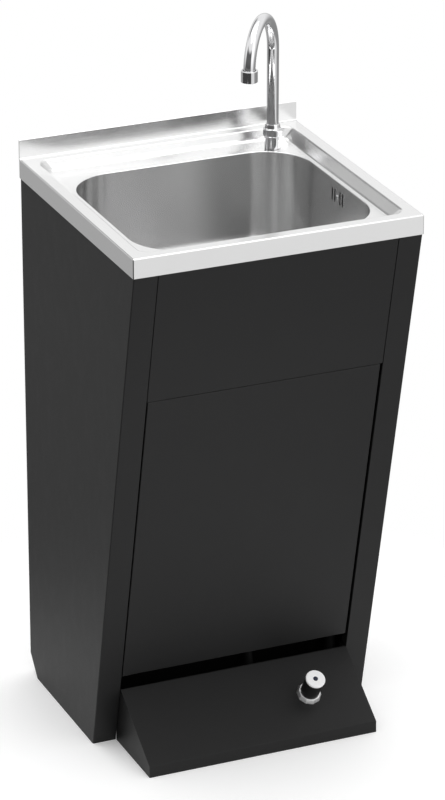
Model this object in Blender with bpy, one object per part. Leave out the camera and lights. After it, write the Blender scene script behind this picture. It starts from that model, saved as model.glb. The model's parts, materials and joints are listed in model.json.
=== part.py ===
"""Free-standing hand-wash sink: stainless basin and gooseneck spout on a black cabinet, worked by a foot pump.

Metres, +Z up. The front faces -Y and +X is the right-hand side seen from the front.
The origin is on the floor under the middle of the cabinet.
"""
import bpy
import bmesh
from math import pi, sin, cos, tan, atan, sqrt, radians
from mathutils import Vector, Matrix

MM = 0.001
GAP = 0.3 * MM                      # clearance between touching pieces

# overall
WIDTH = 450 * MM
DEPTH = 450 * MM
RIM_Z = 850 * MM                    # top of the flat rim
SKIRT = 30 * MM                     # height of the rim's outer skirt
SPLASH = 30 * MM                    # upstand above the rim
SPLASH_T = 2.4 * MM                 # hemmed sheet
SHEET = 1.0 * MM                    # stainless sheet

# recess and deck
RIM_FLAT = 21 * MM
RECESS_R = 18 * MM
DECK_DROP = 15 * MM
DECK_Z = RIM_Z - DECK_DROP
STEP_RUN = 4 * MM                   # steep step at the back
SIDE_RUN = 12 * MM                  # sloping step at the sides and the front

# bowl
BOWL_HX = 185 * MM
BOWL_Y0 = -185 * MM
BOWL_Y1 = 154.5 * MM
BOWL_R = 75 * MM
BOWL_DEPTH = 150 * MM
BOWL_DRAFT = 1.5 * MM
BOWL_FILLET = 25 * MM
BOWL_CY = (BOWL_Y0 + BOWL_Y1) / 2

# cabinet
PANEL = 1.5 * MM
CAB_HX = 223.7 * MM
CAB_TOP = RIM_Z - SKIRT             # where the lean starts
CAB_HEAD = RIM_Z - 5 * MM           # side panels end inside the skirt
FRONT_TOP_Y = -223.7 * MM
FRONT_FOOT_Y = -41.5 * MM
BACK_Y = 223.7 * MM
HEEL_Z = 33 * MM                    # cut-back heel at the rear
HEEL_Y = 195 * MM
STILE_X = 186.5 * MM                # inner edge of the front stiles
LIP = 17 * MM                       # stile lip turned into the cabinet
BACK_FLANGE = 20 * MM
LEAN = atan((FRONT_FOOT_Y - FRONT_TOP_Y) / CAB_TOP)

# door and fascia, measured up the leaning front
SEAM_Z = 607 * MM
DOOR_Z0 = 118.6 * MM
DOOR_XL = -184.5 * MM
DOOR_XR = 182.5 * MM
FASCIA_HX = 186.0 * MM
PAN_DEPTH = 16 * MM
HINGE_IN = 4 * MM                   # pivot from the door's edge and face

# foot box
BOX_HX = 186 * MM
BOX_TOP = (-62.7 * MM, 94 * MM)
BOX_LIP = (-175.0 * MM, 18.6 * MM)
BOX_FOOT_Y = -175.6 * MM
BOX_BACK_Y = -43 * MM

# foot pump
PUMP_X = 98.5 * MM
CAP_R = 15.2 * MM
SLEEVE_R = 14.6 * MM
RING_R = 19.3 * MM
RING_H = 8 * MM
BUTTON_OUT = 45 * MM                # cap top above the slope
CAP_H = 4 * MM
TRAVEL = 10 * MM
BARREL_R = 20 * MM
BARREL_L = 46 * MM

# spout
TAP_X, TAP_Y = 158 * MM, 160 * MM
SPOUT_R, SPOUT_BORE = 9 * MM, 7.6 * MM
ARCH_R = 61.5 * MM
ARCH_Z = 992 * MM
AIM = radians(-130.3)
TAP_BASE_R = 12.3 * MM
COLLAR_R = 14.5 * MM

# tanks
TANK_W, TANK_D, TANK_H = 186 * MM, 198 * MM, 330 * MM
TANK_Z = 17 * MM
TANK_WALL = 2.4 * MM
NECK_R = 24 * MM


# ---------------------------------------------------------------- helpers
for old in list(bpy.data.objects):
    bpy.data.objects.remove(old, do_unlink=True)

MATERIALS = {}


def material(name, color, rough, metal):
    if name not in MATERIALS:
        m = bpy.data.materials.new(name)
        m.use_nodes = True
        b = m.node_tree.nodes["Principled BSDF"]
        b.inputs["Base Color"].default_value = (*color, 1.0)
        b.inputs["Roughness"].default_value = rough
        b.inputs["Metallic"].default_value = metal
        MATERIALS[name] = m
    return MATERIALS[name]


STEEL = ("stainless", (0.62, 0.62, 0.62), 0.30, 1.0)
CHROME = ("chrome", (0.72, 0.72, 0.73), 0.10, 1.0)
BLACK = ("black_coat", (0.030, 0.030, 0.030), 0.55, 0.0)
ZINC = ("zinc", (0.52, 0.53, 0.54), 0.42, 1.0)
BLACK_PLASTIC = ("black_plastic", (0.020, 0.020, 0.021), 0.42, 0.0)
WHITE_PLASTIC = ("white_plastic", (0.80, 0.80, 0.78), 0.35, 0.0)
BLUE_PLASTIC = ("blue_plastic", (0.03, 0.08, 0.30), 0.35, 0.0)
NATURAL = ("natural_tank", (0.78, 0.79, 0.76), 0.40, 0.0)
GREY_TANK = ("grey_tank", (0.25, 0.26, 0.27), 0.45, 0.0)
RUBBER = ("rubber", (0.025, 0.025, 0.025), 0.75, 0.0)
HOSE_BLACK = ("black_hose", (0.020, 0.020, 0.021), 0.50, 0.0)
HOSE_GREY = ("grey_hose", (0.42, 0.43, 0.44), 0.50, 0.0)


def body(name, points, faces, mat, location=(0, 0, 0), rotation=(0, 0, 0), smooth=None):
    """A closed mesh object; smooth is the angle over which edges stay sharp, None for flat."""
    mesh = bpy.data.meshes.new(name)
    bm = bmesh.new()
    verts = [bm.verts.new(p) for p in points]
    for f in faces:
        bm.faces.new([verts[i] for i in f])
    bmesh.ops.recalc_face_normals(bm, faces=bm.faces)
    bm.to_mesh(mesh)
    bm.free()
    obj = bpy.data.objects.new(name, mesh)
    bpy.context.scene.collection.objects.link(obj)
    obj.location = location
    obj.rotation_euler = rotation
    mesh.materials.append(material(*mat))
    if smooth is not None:
        mesh.shade_smooth()
        mesh.set_sharp_from_angle(angle=radians(smooth))
    return obj


def loft_data(rings, loop=False):
    """Points and faces through rings of equal length: a torus when loop, otherwise capped."""
    n = len(rings[0])
    pts = [p for ring in rings for p in ring]
    faces = []
    m = len(rings)
    for i in range(m if loop else m - 1):
        a, b = i * n, ((i + 1) % m) * n
        for j in range(n):
            k = (j + 1) % n
            faces.append((a + j, a + k, b + k, b + j))
    if not loop:
        faces.append(tuple(range(n))[::-1])
        faces.append(tuple((m - 1) * n + j for j in range(n)))
    return pts, faces


def round_rect(x0, x1, y0, y1, r, z, per=6):
    """A ring of 4*(per+1) points around a rounded rectangle at height z."""
    r = max(r, 0.05 * MM)
    ring = []
    for cx, cy, a0 in ((x1 - r, y1 - r, 0), (x0 + r, y1 - r, 90), (x0 + r, y0 + r, 180), (x1 - r, y0 + r, 270)):
        for i in range(per + 1):
            a = radians(a0 + 90 * i / per)
            ring.append((cx + r * cos(a), cy + r * sin(a), z))
    return ring


def circle(cx, cy, r, z, n, start=0.0):
    return [(cx + r * cos(start + 2 * pi * i / n), cy + r * sin(start + 2 * pi * i / n), z) for i in range(n)]


def lathe(name, profile, n, mat, location=(0, 0, 0), rotation=(0, 0, 0), smooth=35, closed=True):
    """Turns (radius, z) pairs about the local Z. closed joins last to first, as for a ring;
    otherwise the ends are capped by discs."""
    rings = [circle(0, 0, r, z, n) for r, z in profile]
    pts, faces = loft_data(rings, loop=closed)
    return body(name, pts, faces, mat, location, rotation, smooth)


def box_body(name, lo, hi, mat, location=(0, 0, 0), rotation=(0, 0, 0)):
    ring = lambda z: [(lo[0], lo[1], z), (hi[0], lo[1], z), (hi[0], hi[1], z), (lo[0], hi[1], z)]
    pts, faces = loft_data([ring(lo[2]), ring(hi[2])])
    return body(name, pts, faces, mat, location, rotation)


def prism_x(name, outline, x0, x1, mat, location=(0, 0, 0), rotation=(0, 0, 0), smooth=None):
    """Extrudes a (y, z) outline along X."""
    pts, faces = loft_data([[(x0, y, z) for y, z in outline], [(x1, y, z) for y, z in outline]])
    return body(name, pts, faces, mat, location, rotation, smooth)


def boolean(target, tool, operation="DIFFERENCE"):
    m = target.modifiers.new(operation.lower() + "_" + tool.name, "BOOLEAN")
    m.operation = operation
    m.solver = "EXACT"
    m.object = tool
    tool.hide_render = True
    tool.display_type = "WIRE"
    return m


def smooth_path(knots, step):
    """Centripetal spline through the knots, resampled about every step."""
    k = [Vector(p) for p in knots]
    k = [k[0] * 2 - k[1]] + k + [k[-1] * 2 - k[-2]]
    out = []
    for i in range(1, len(k) - 2):
        p0, p1, p2, p3 = k[i - 1:i + 3]
        t0 = 0.0
        t1 = t0 + sqrt((p1 - p0).length)
        t2 = t1 + sqrt((p2 - p1).length)
        t3 = t2 + sqrt((p3 - p2).length)
        count = max(2, int((p2 - p1).length / step))
        for j in range(count):
            t = t1 + (t2 - t1) * j / count
            a1 = p0 * ((t1 - t) / (t1 - t0)) + p1 * ((t - t0) / (t1 - t0))
            a2 = p1 * ((t2 - t) / (t2 - t1)) + p2 * ((t - t1) / (t2 - t1))
            a3 = p2 * ((t3 - t) / (t3 - t2)) + p3 * ((t - t2) / (t3 - t2))
            b1 = a1 * ((t2 - t) / (t2 - t0)) + a2 * ((t - t0) / (t2 - t0))
            b2 = a2 * ((t3 - t) / (t3 - t1)) + a3 * ((t - t1) / (t3 - t1))
            out.append(b1 * ((t2 - t) / (t2 - t1)) + b2 * ((t - t1) / (t2 - t1)))
    out.append(k[-2])
    return out


def tube(name, path, r_out, r_in, n, mat, location=(0, 0, 0), smooth=50):
    """Sweeps a pipe (r_in above zero) or a rod along the path; ends square to it."""
    path = [Vector(p) for p in path]
    tangents = []
    for i in range(len(path)):
        a = path[max(i - 1, 0)]
        b = path[min(i + 1, len(path) - 1)]
        tangents.append((b - a).normalized())
    side = tangents[0].orthogonal().normalized()
    frames = []
    for i, t in enumerate(tangents):
        if i:
            turn = tangents[i - 1].rotation_difference(t)
            side = turn @ side
            side = (side - t * side.dot(t)).normalized()
        frames.append((side.copy(), t.cross(side)))

    def ring(i, r):
        u, v = frames[i]
        return [tuple(path[i] + u * (r * cos(2 * pi * j / n)) + v * (r * sin(2 * pi * j / n))) for j in range(n)]

    order = range(len(path))
    if r_in > 0:
        rings = [ring(i, r_out) for i in order] + [ring(i, r_in) for i in reversed(order)]
        pts, faces = loft_data(rings, loop=True)
    else:
        pts, faces = loft_data([ring(i, r_out) for i in order])
    return body(name, pts, faces, mat, location, (0, 0, 0), smooth)


def front_y(z):
    """The leaning front's outer face."""
    return FRONT_TOP_Y + (CAB_TOP - min(z, CAB_TOP)) * tan(LEAN)


def up_front(z):
    """Distance up the leaning front, from the floor, of a height."""
    return z / cos(LEAN)


# ---------------------------------------------------------------- basin deck
def deck_ring(inset_side, inset_front, inset_back, r, z):
    return round_rect(-WIDTH / 2 + inset_side, WIDTH / 2 - inset_side,
                      -DEPTH / 2 + inset_front, DEPTH / 2 - inset_back, r, z)


def bowl_ring(grow, z, r=None):
    return round_rect(-BOWL_HX - grow, BOWL_HX + grow, BOWL_Y0 - grow, BOWL_Y1 + grow,
                      (BOWL_R + grow) if r is None else r, z)


B = 2.0 * MM                                    # bend radius at the rim's edge
outer = [deck_ring(0, 0, 0, 1.6 * MM, RIM_Z - SKIRT),
         deck_ring(0, 0, 0, 1.6 * MM, RIM_Z - B),
         deck_ring(0.29 * B, 0.29 * B, 0.29 * B, 1.4 * MM, RIM_Z - 0.29 * B),
         deck_ring(B, B, B, 1.0 * MM, RIM_Z)]
f = RIM_FLAT
outer += [deck_ring(f - 1.6 * MM, f - 1.6 * MM, f - 1.6 * MM, RECESS_R + 1.6 * MM, RIM_Z),
          deck_ring(f - 0.4 * MM, f - 0.4 * MM, f - 0.4 * MM, RECESS_R + 0.4 * MM, RIM_Z - 0.5 * MM),
          deck_ring(f + 0.4 * MM, f + 0.4 * MM, f + 0.4 * MM, RECESS_R, RIM_Z - 1.8 * MM)]
g = f + STEP_RUN
w = f + SIDE_RUN
outer += [deck_ring(w - 2.6 * MM, w - 2.6 * MM, g - 1.0 * MM, RECESS_R - 3 * MM, DECK_Z + 2.6 * MM),
          deck_ring(w - 0.9 * MM, w - 0.9 * MM, g, RECESS_R - 4 * MM, DECK_Z + 0.9 * MM),
          deck_ring(w + 1.8 * MM, w + 1.8 * MM, g + 1.8 * MM, RECESS_R - 5 * MM, DECK_Z)]
outer += [bowl_ring(2.2 * MM, DECK_Z), bowl_ring(0.8 * MM, DECK_Z - 0.3 * MM), bowl_ring(0.2 * MM, DECK_Z - SHEET)]
s = SHEET
inner = [bowl_ring(3.0 * MM, DECK_Z - s),
         deck_ring(w + 1.8 * MM, w + 1.8 * MM, g + 1.8 * MM, RECESS_R - 5 * MM, DECK_Z - s),
         deck_ring(w - 1.8 * MM, w - 1.8 * MM, g - s, RECESS_R - 3 * MM, DECK_Z + 0.6 * MM),
         deck_ring(f + 0.4 * MM - s, f + 0.4 * MM - s, f + 0.4 * MM - s, RECESS_R + 1 * MM, RIM_Z - 2.4 * MM),
         deck_ring(f - 1.8 * MM, f - 1.8 * MM, f - 1.8 * MM, RECESS_R + 1.8 * MM, RIM_Z - s),
         deck_ring(B, B, B, 0.8 * MM, RIM_Z - s),
         deck_ring(s, s, s, 0.6 * MM, RIM_Z - B),
         deck_ring(s, s, s, 0.6 * MM, RIM_Z - SKIRT)]
pts, faces = loft_data(outer + inner, loop=True)
deck = body("basin_deck", pts, faces, STEEL, smooth=30)

splash = box_body("cut_splash", (-WIDTH / 2, DEPTH / 2 - SPLASH_T, RIM_Z - 3 * MM), (WIDTH / 2, DEPTH / 2, RIM_Z + SPLASH), STEEL)
boolean(deck, splash, "UNION")
TAP_HOLE_R = 8.6 * MM
tap_hole = lathe("cut_tap_hole", [(TAP_HOLE_R, -10 * MM), (TAP_HOLE_R, 10 * MM)], 20, STEEL, (TAP_X, TAP_Y, DECK_Z), closed=False)
boolean(deck, tap_hole)

# ---------------------------------------------------------------- bowl
FLOOR_Z = DECK_Z - BOWL_DEPTH
top = DECK_Z - SHEET - GAP


def bowl_wall(offset):
    """Rings from the flange edge down the wall and fillet to the bottom; offset is outwards."""
    rings = []
    z_top = top - offset
    rings.append(bowl_ring(5 * MM, z_top))
    rings.append(bowl_ring(2.0 * MM, z_top))
    rings.append(bowl_ring(0.6 * MM if offset == 0 else 1.2 * MM, z_top - 0.5 * MM))
    rings.append(bowl_ring(0 + offset, top - 2.0 * MM))
    z_f = FLOOR_Z + 2 * MM + BOWL_FILLET
    rings.append(bowl_ring(-BOWL_DRAFT + offset, z_f))
    for a in (22.5, 45, 67.5):
        a = radians(a)
        inset = BOWL_DRAFT + (BOWL_FILLET) * (1 - cos(a)) - offset * cos(a)
        z = z_f - BOWL_FILLET * sin(a) - offset * sin(a)
        rings.append(bowl_ring(-inset, z))
    rings.append(bowl_ring(-(BOWL_DRAFT + BOWL_FILLET), z_f - BOWL_FILLET - offset))
    return rings


DRAIN_R = 22.3 * MM


def drain_ring(r, z):
    """As many points as a bowl ring, quarter by quarter, about the drain."""
    return [(r * cos(a), BOWL_CY + r * sin(a), z) for a in [radians(90 * (q + j / 7)) for q in range(4) for j in range(7)]]


inside = bowl_wall(0.0) + [drain_ring(38 * MM, FLOOR_Z), drain_ring(DRAIN_R, FLOOR_Z)]
outside = bowl_wall(SHEET) + [drain_ring(38 * MM, FLOOR_Z - SHEET), drain_ring(DRAIN_R, FLOOR_Z - SHEET)]
pts, faces = loft_data(inside + outside[::-1], loop=True)
bowl = body("basin_bowl", pts, faces, STEEL, smooth=30)

SLOT_W, SLOT_H, SLOT_Z = 3.0 * MM, 20.5 * MM, 811.2 * MM
OVER_Y = -15.7 * MM
for i, dy in enumerate((-17.8, -8.9, 8.9, 17.8)):
    outline = []
    for sgn in (1, -1):
        for j in range(7):
            a = radians(0 + 180 * j / 6) if sgn > 0 else radians(180 + 180 * j / 6)
            outline.append((SLOT_W / 2 * cos(a), SLOT_W / 2 * sin(a) + sgn * (SLOT_H - SLOT_W) / 2))
    slot_cut = prism_x("cut_slot_%d" % (i + 1), outline, -8 * MM, 8 * MM, STEEL, (BOWL_HX, OVER_Y + dy * MM, SLOT_Z))
    boolean(bowl, slot_cut)
screw_cut = lathe("cut_overflow_screw", [(2.3 * MM, -8 * MM), (2.3 * MM, 8 * MM)], 16, STEEL,
                  (BOWL_HX, OVER_Y, SLOT_Z), (0, pi / 2, 0), closed=False)
boolean(bowl, screw_cut)

# ---------------------------------------------------------------- cabinet sides
def side_section(sign, z):
    """Cross-section of a side panel: lip, stile, side and rear flange, bent from one sheet."""
    yf = front_y(z)
    yb = BACK_Y if z >= HEEL_Z else HEEL_Y + (BACK_Y - HEEL_Y) * z / HEEL_Z
    t = PANEL
    o = 1.8 * MM
    pts = [(STILE_X + t, yf + LIP), (STILE_X, yf + LIP), (STILE_X, yf + 0.5 * MM), (STILE_X + 0.5 * MM, yf),
           (CAB_HX - o, yf), (CAB_HX - 0.3 * o, yf + 0.3 * o), (CAB_HX, yf + o),
           (CAB_HX, yb - o), (CAB_HX - 0.3 * o, yb - 0.3 * o), (CAB_HX - o, yb),
           (CAB_HX - BACK_FLANGE, yb), (CAB_HX - BACK_FLANGE, yb - t),
           (CAB_HX - t, yb - t), (CAB_HX - t, yf + t), (STILE_X + t, yf + t)]
    ring = [(sign * x, y, z) for x, y in pts]
    return ring if sign > 0 else ring[::-1]


def side_panel(name, sign):
    rings = [side_section(sign, z) for z in (0.0, HEEL_Z, CAB_TOP - 0.3 * MM, CAB_HEAD)]
    p, fc = loft_data(rings)
    panel = body(name, p, fc, BLACK, smooth=25)
    lo, hi = sorted((sign * (CAB_HX - 20 * MM), sign * (CAB_HX - 0.6 * MM)))
    foot = box_body("cut_foot_" + name, (lo, FRONT_FOOT_Y + 6 * MM, 0.0), (hi, HEEL_Y - 5 * MM, PANEL), BLACK)
    boolean(panel, foot, "UNION")
    lo, hi = sorted((sign * (CAB_HX - 13.5 * MM), sign * (CAB_HX - 0.6 * MM)))
    head = box_body("cut_head_" + name, (lo, -190 * MM, CAB_HEAD - PANEL), (hi, 200 * MM, CAB_HEAD), BLACK)
    boolean(panel, head, "UNION")
    return panel


side_panel("side_panel_left", -1)
side_panel("side_panel_right", 1)

# ---------------------------------------------------------------- back panel
by1 = BACK_Y - PANEL - GAP
back = box_body("back_panel", (-221.8 * MM, by1 - PANEL, HEEL_Z + 2 * MM), (221.8 * MM, by1, CAB_HEAD - 3 * MM), BLACK)
back_lip = box_body("cut_back_lip", (-200 * MM, by1 - 14 * MM, HEEL_Z + 2 * MM), (200 * MM, by1 - 0.5 * MM, HEEL_Z + 2 * MM + PANEL), BLACK)
boolean(back, back_lip, "UNION")
SCREW_X, SCREW_ZS = 213.7 * MM, (110 * MM, 770 * MM)
n_screw = 0
for sx in (-1, 1):
    for sz in SCREW_ZS:
        n_screw += 1
        hole = lathe("cut_back_hole_%d" % n_screw, [(2.3 * MM, -8 * MM), (2.3 * MM, 8 * MM)], 16, BLACK,
                     (sx * SCREW_X, BACK_Y, sz), (pi / 2, 0, 0), closed=False)
        for panel in (back, bpy.data.objects["side_panel_left" if sx < 0 else "side_panel_right"]):
            boolean(panel, hole)
        # pan-head screw, set a hair below the skirt's line so nothing stands behind the backsplash
        lathe("back_screw_%d" % n_screw,
              [(2.0 * MM, -7 * MM), (2.0 * MM, 0.3 * MM), (4.0 * MM, 0.3 * MM), (3.9 * MM, 0.7 * MM), (3.0 * MM, 1.1 * MM), (1.2 * MM, 1.2 * MM)],
              10, ZINC, (sx * SCREW_X, BACK_Y, sz), (-pi / 2, 0, 0), closed=False)


# ---------------------------------------------------------------- door and fascia
def pan(name, x0, x1, z0, z1, depth, location):
    """A sheet folded back on all four edges, in the leaning frame: +Z up the front, -Y outwards."""
    t, b = PANEL, 0.7 * MM

    def ring(inset, y):
        return [(x0 + inset, y, z0 + inset), (x1 - inset, y, z0 + inset), (x1 - inset, y, z1 - inset), (x0 + inset, y, z1 - inset)]

    rings = [ring(b, 0.0), ring(0, b), ring(0, depth), ring(t, depth), ring(t, t)]
    p, fc = loft_data(rings)
    return body(name, p, fc, BLACK, location, (LEAN, 0, 0))


DOOR_S0, DOOR_S1 = up_front(DOOR_Z0), up_front(SEAM_Z) - 0.4 * MM
FASCIA_S0, FASCIA_S1 = up_front(SEAM_Z) + 0.4 * MM, up_front(CAB_TOP) - 0.6 * MM
FOOT = Vector((0, FRONT_FOOT_Y, 0))
UP = Vector((0, -sin(LEAN), cos(LEAN)))
OUT = Vector((0, -cos(LEAN), -sin(LEAN)))


def on_front(x, inward, s):
    return FOOT + Vector((x, 0, 0)) - OUT * inward + UP * s


hinge_at = on_front(DOOR_XL + HINGE_IN, HINGE_IN, DOOR_S0)
hinge = bpy.data.objects.new("door_axis", None)
bpy.context.scene.collection.objects.link(hinge)
hinge.location = hinge_at
hinge.rotation_euler = (LEAN, 0, 0)

door = pan("front_door", -HINGE_IN, DOOR_XR - DOOR_XL - HINGE_IN, 0, DOOR_S1 - DOOR_S0, PAN_DEPTH, (0, -HINGE_IN, 0))
door.rotation_euler = (0, 0, 0)
door.parent = hinge
PIN_R = 2.0 * MM
pin_holes = lathe("cut_door_pins", [(PIN_R + GAP, -2 * MM), (PIN_R + GAP, DOOR_S1 - DOOR_S0 + 2 * MM)], 16, BLACK, (0, 0, 0), closed=False)
pin_holes.parent = hinge
boolean(door, pin_holes)

fascia = pan("fascia_panel", -FASCIA_HX, FASCIA_HX, FASCIA_S0, FASCIA_S1, PAN_DEPTH, tuple(FOOT))
notch = box_body("cut_fascia_notch", (-190 * MM, PANEL + 0.2 * MM, FASCIA_S0 - 2 * MM), (-168 * MM, 30 * MM, FASCIA_S0 + 3 * MM), BLACK,
                 tuple(FOOT), (LEAN, 0, 0))
boolean(fascia, notch)


def hinge_pivot(name, s, up):
    """A plate fixed to the stile's lip, with the pin the door turns on."""
    d = 1 if up else -1                          # the plate's side of the door's edge
    t = 1.6 * MM
    x0 = -STILE_X + 0.2 * MM - (DOOR_XL + HINGE_IN)
    ring = lambda z: [(x0, -2.2 * MM, z), (10 * MM, -2.2 * MM, z), (10 * MM, 11 * MM, z), (x0, 11 * MM, z)]
    a, b = GAP * d, (GAP + t) * d
    p, fc = loft_data([ring(min(a, b)), ring(max(a, b))])
    at = on_front(DOOR_XL + HINGE_IN, HINGE_IN, s)
    plate = body(name, p, fc, ZINC, tuple(at), (LEAN, 0, 0))
    z_in = -8 * MM * d
    pin = lathe("cut_pin_" + name, [(PIN_R, min(z_in, b - 0.4 * MM * d)), (PIN_R, max(z_in, b - 0.4 * MM * d))], 16, ZINC,
                tuple(at), (LEAN, 0, 0), closed=False)
    boolean(plate, pin, "UNION")
    return plate


hinge_pivot("hinge_pivot_top", DOOR_S1, True)
hinge_pivot("hinge_pivot_bottom", DOOR_S0, False)

# door stop across the cabinet behind the seam
rail_z = up_front(SEAM_Z)
t = PANEL
outline = [(PAN_DEPTH + 0.6 * MM, rail_z - 16 * MM), (PAN_DEPTH + 0.6 * MM, rail_z + 16 * MM),
           (PAN_DEPTH + 0.6 * MM + 18 * MM, rail_z + 16 * MM), (PAN_DEPTH + 0.6 * MM + 18 * MM, rail_z + 16 * MM - t),
           (PAN_DEPTH + 0.6 * MM + t, rail_z + 16 * MM - t), (PAN_DEPTH + 0.6 * MM + t, rail_z - 16 * MM + t),
           (PAN_DEPTH + 0.6 * MM + 18 * MM, rail_z - 16 * MM + t), (PAN_DEPTH + 0.6 * MM + 18 * MM, rail_z - 16 * MM)]
outline = [(y + 0.9 * MM, z) for y, z in outline]
prism_x("front_rail", outline, -221.8 * MM, 221.8 * MM, BLACK, tuple(FOOT), (LEAN, 0, 0))

# magnetic catch behind the right stile's lip
catch_z = up_front(330 * MM)
box_body("door_catch", (160 * MM, PAN_DEPTH + 0.4 * MM, catch_z - 22 * MM), (186.1 * MM, PAN_DEPTH + 11 * MM, catch_z + 22 * MM),
         BLACK_PLASTIC, tuple(FOOT), (LEAN, 0, 0))

# ---------------------------------------------------------------- base tray
TRAY_Z = 14 * MM
TRAY_FRONT = 104 * MM                             # front wall that keeps the tanks in
t = PANEL
rings = [round_rect(-221.8 * MM, 221.8 * MM, -18 * MM, 204 * MM, 2 * MM, TRAY_Z, 2),
         round_rect(-221.8 * MM, 221.8 * MM, -18 * MM, 204 * MM, 2 * MM, TRAY_Z + 26 * MM, 2),
         round_rect(-221.8 * MM + t, 221.8 * MM - t, -18 * MM + t, 204 * MM - t, 1 * MM, TRAY_Z + 26 * MM, 2),
         round_rect(-221.8 * MM + t, 221.8 * MM - t, -18 * MM + t, 204 * MM - t, 1 * MM, TRAY_Z + t, 2)]
for i in (1, 2):
    rings[i] = [(x, y, TRAY_FRONT if y < 0 else z) for x, y, z in rings[i]]
pts, faces = loft_data(rings)
body("base_tray", pts, faces, BLACK)

# ---------------------------------------------------------------- foot box
slope = Vector((0, BOX_TOP[0] - BOX_LIP[0], BOX_TOP[1] - BOX_LIP[1]))
SLOPE = slope.normalized()                                    # up the slope
NORMAL = Vector((0, -SLOPE.z, SLOPE.y))                       # out of the slope
TILT = atan(SLOPE.z / SLOPE.y)                                # slope from the floor
ty, tz = BOX_TOP
ly, lz = BOX_LIP
outline = [(BOX_BACK_Y, tz), (ty + 0.8 * MM, tz), (ty - 0.6 * MM, tz - 0.4 * MM), (ly + 0.5 * MM, lz + 0.35 * MM), (ly - 0.1 * MM, lz - 0.6 * MM),
           (BOX_FOOT_Y, 0.0), (BOX_BACK_Y, 0.0)]
footbox = prism_x("foot_box", outline, -BOX_HX, BOX_HX, BLACK)
rt = ty + 0.3 * MM                                # short return folded down behind the slope's top edge
inner_outline = [(BOX_BACK_Y + 20 * MM, tz + 8 * MM), (rt + t, tz + 8 * MM), (rt + t, tz - 12 * MM), (rt, tz - 12 * MM), (rt, tz - t), (ly + 1.6 * MM, lz - 0.9 * MM), (BOX_FOOT_Y + t, -8 * MM), (BOX_BACK_Y + 20 * MM, -8 * MM)]
hollow = prism_x("cut_foot_box", inner_outline, -BOX_HX + t, BOX_HX - t, BLACK)
boolean(footbox, hollow)
MID = Vector((PUMP_X, (ty + ly) / 2, (tz + lz) / 2))
pump_hole = lathe("cut_pump_hole", [(SLEEVE_R + 1.0 * MM, -12 * MM), (SLEEVE_R + 1.0 * MM, 12 * MM)], 20, BLACK, tuple(MID), (TILT, 0, 0), closed=False)
boolean(footbox, pump_hole)

# ---------------------------------------------------------------- foot pump, along the slope's normal
button_axis = bpy.data.objects.new("button_axis", None)
bpy.context.scene.collection.objects.link(button_axis)
button_axis.location = MID
button_axis.rotation_euler = (TILT, 0, 0)


def along(z):
    return tuple(MID + NORMAL * z)


# lock ring on the slope: ten flats, narrowing away from the slope
n = 40
FLATS = 10


def faceted(r, r_flat, z):
    """A circle pulled in to ten flats at r_flat."""
    ring = []
    for i in range(n):
        a = 2 * pi * i / n
        off = (a + pi / FLATS) % (2 * pi / FLATS) - pi / FLATS
        k = min(r, r_flat / cos(off))
        ring.append((k * cos(a), k * sin(a), z))
    return ring


FLAT_R = RING_R * cos(pi / FLATS)
rings = [faceted(RING_R, FLAT_R, GAP), faceted(RING_R, FLAT_R, 1.5 * MM), faceted(RING_R - 2.2 * MM, FLAT_R - 2.2 * MM, RING_H - 1.2 * MM),
         circle(0, 0, RING_R - 3.2 * MM, RING_H, n), circle(0, 0, SLEEVE_R + 0.6 * MM, RING_H, n), circle(0, 0, SLEEVE_R + 0.6 * MM, GAP, n)]
pts, faces = loft_data(rings, loop=True)
body("pump_lock_ring", pts, faces, CHROME, tuple(MID), (TILT, 0, 0), 30)

# barrel under the slope, open at the top, closed at the foot
u = -PANEL - GAP
lathe("pump_barrel", [(18.5 * MM, u), (BARREL_R, u - 1.5 * MM), (BARREL_R, u - 9 * MM), (BARREL_R - 1.5 * MM, u - 10 * MM),
                      (BARREL_R - 1.5 * MM, -BARREL_L + 2 * MM), (BARREL_R - 3.5 * MM, -BARREL_L), (3 * MM, -BARREL_L),
                      (3 * MM, -BARREL_L + 3 * MM), (SLEEVE_R + 0.6 * MM, -BARREL_L + 3 * MM), (SLEEVE_R + 0.6 * MM, u)],
       20, BLACK_PLASTIC, tuple(MID), (TILT, 0, 0), 30)

# moving button: sleeve, cap and marker, and the plunger under them
sleeve = lathe("button_sleeve", [(SLEEVE_R, -12 * MM), (SLEEVE_R, BUTTON_OUT - CAP_H), (SLEEVE_R - 2.4 * MM, BUTTON_OUT - CAP_H), (SLEEVE_R - 2.4 * MM, -12 * MM)],
                20, BLACK_PLASTIC, (0, 0, 0), closed=True)
sleeve.parent = button_axis
c = BUTTON_OUT
cap = lathe("button_cap", [(CAP_R - 0.4 * MM, c - CAP_H + GAP), (CAP_R, c - CAP_H + 1 * MM), (CAP_R, c - 2.4 * MM), (CAP_R - 0.9 * MM, c - 0.9 * MM), (CAP_R - 3.0 * MM, c),
                           (3.9 * MM, c), (3.9 * MM, c - 0.8 * MM), (0.6 * MM, c - 0.8 * MM), (0.6 * MM, c - CAP_H + GAP)],
             20, WHITE_PLASTIC, (0, 0, 0), closed=True)
cap.parent = button_axis
marker = lathe("button_marker", [(3.6 * MM, c - 0.8 * MM + GAP), (3.6 * MM, c + 0.1 * MM), (2.6 * MM, c + 0.3 * MM), (0.5 * MM, c + 0.4 * MM), ],
                16, BLUE_PLASTIC, (0, 0, 0), closed=False)
marker.parent = button_axis
plunger = lathe("pump_plunger", [(SLEEVE_R - 0.2 * MM, -12 * MM - GAP), (SLEEVE_R - 0.2 * MM, -17 * MM), (4.0 * MM, -17 * MM), (4.0 * MM, -26 * MM), (0.8 * MM, -26 * MM), (0.8 * MM, -12 * MM - GAP)],
                 20, ZINC, (0, 0, 0), closed=True)
plunger.parent = button_axis

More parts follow.
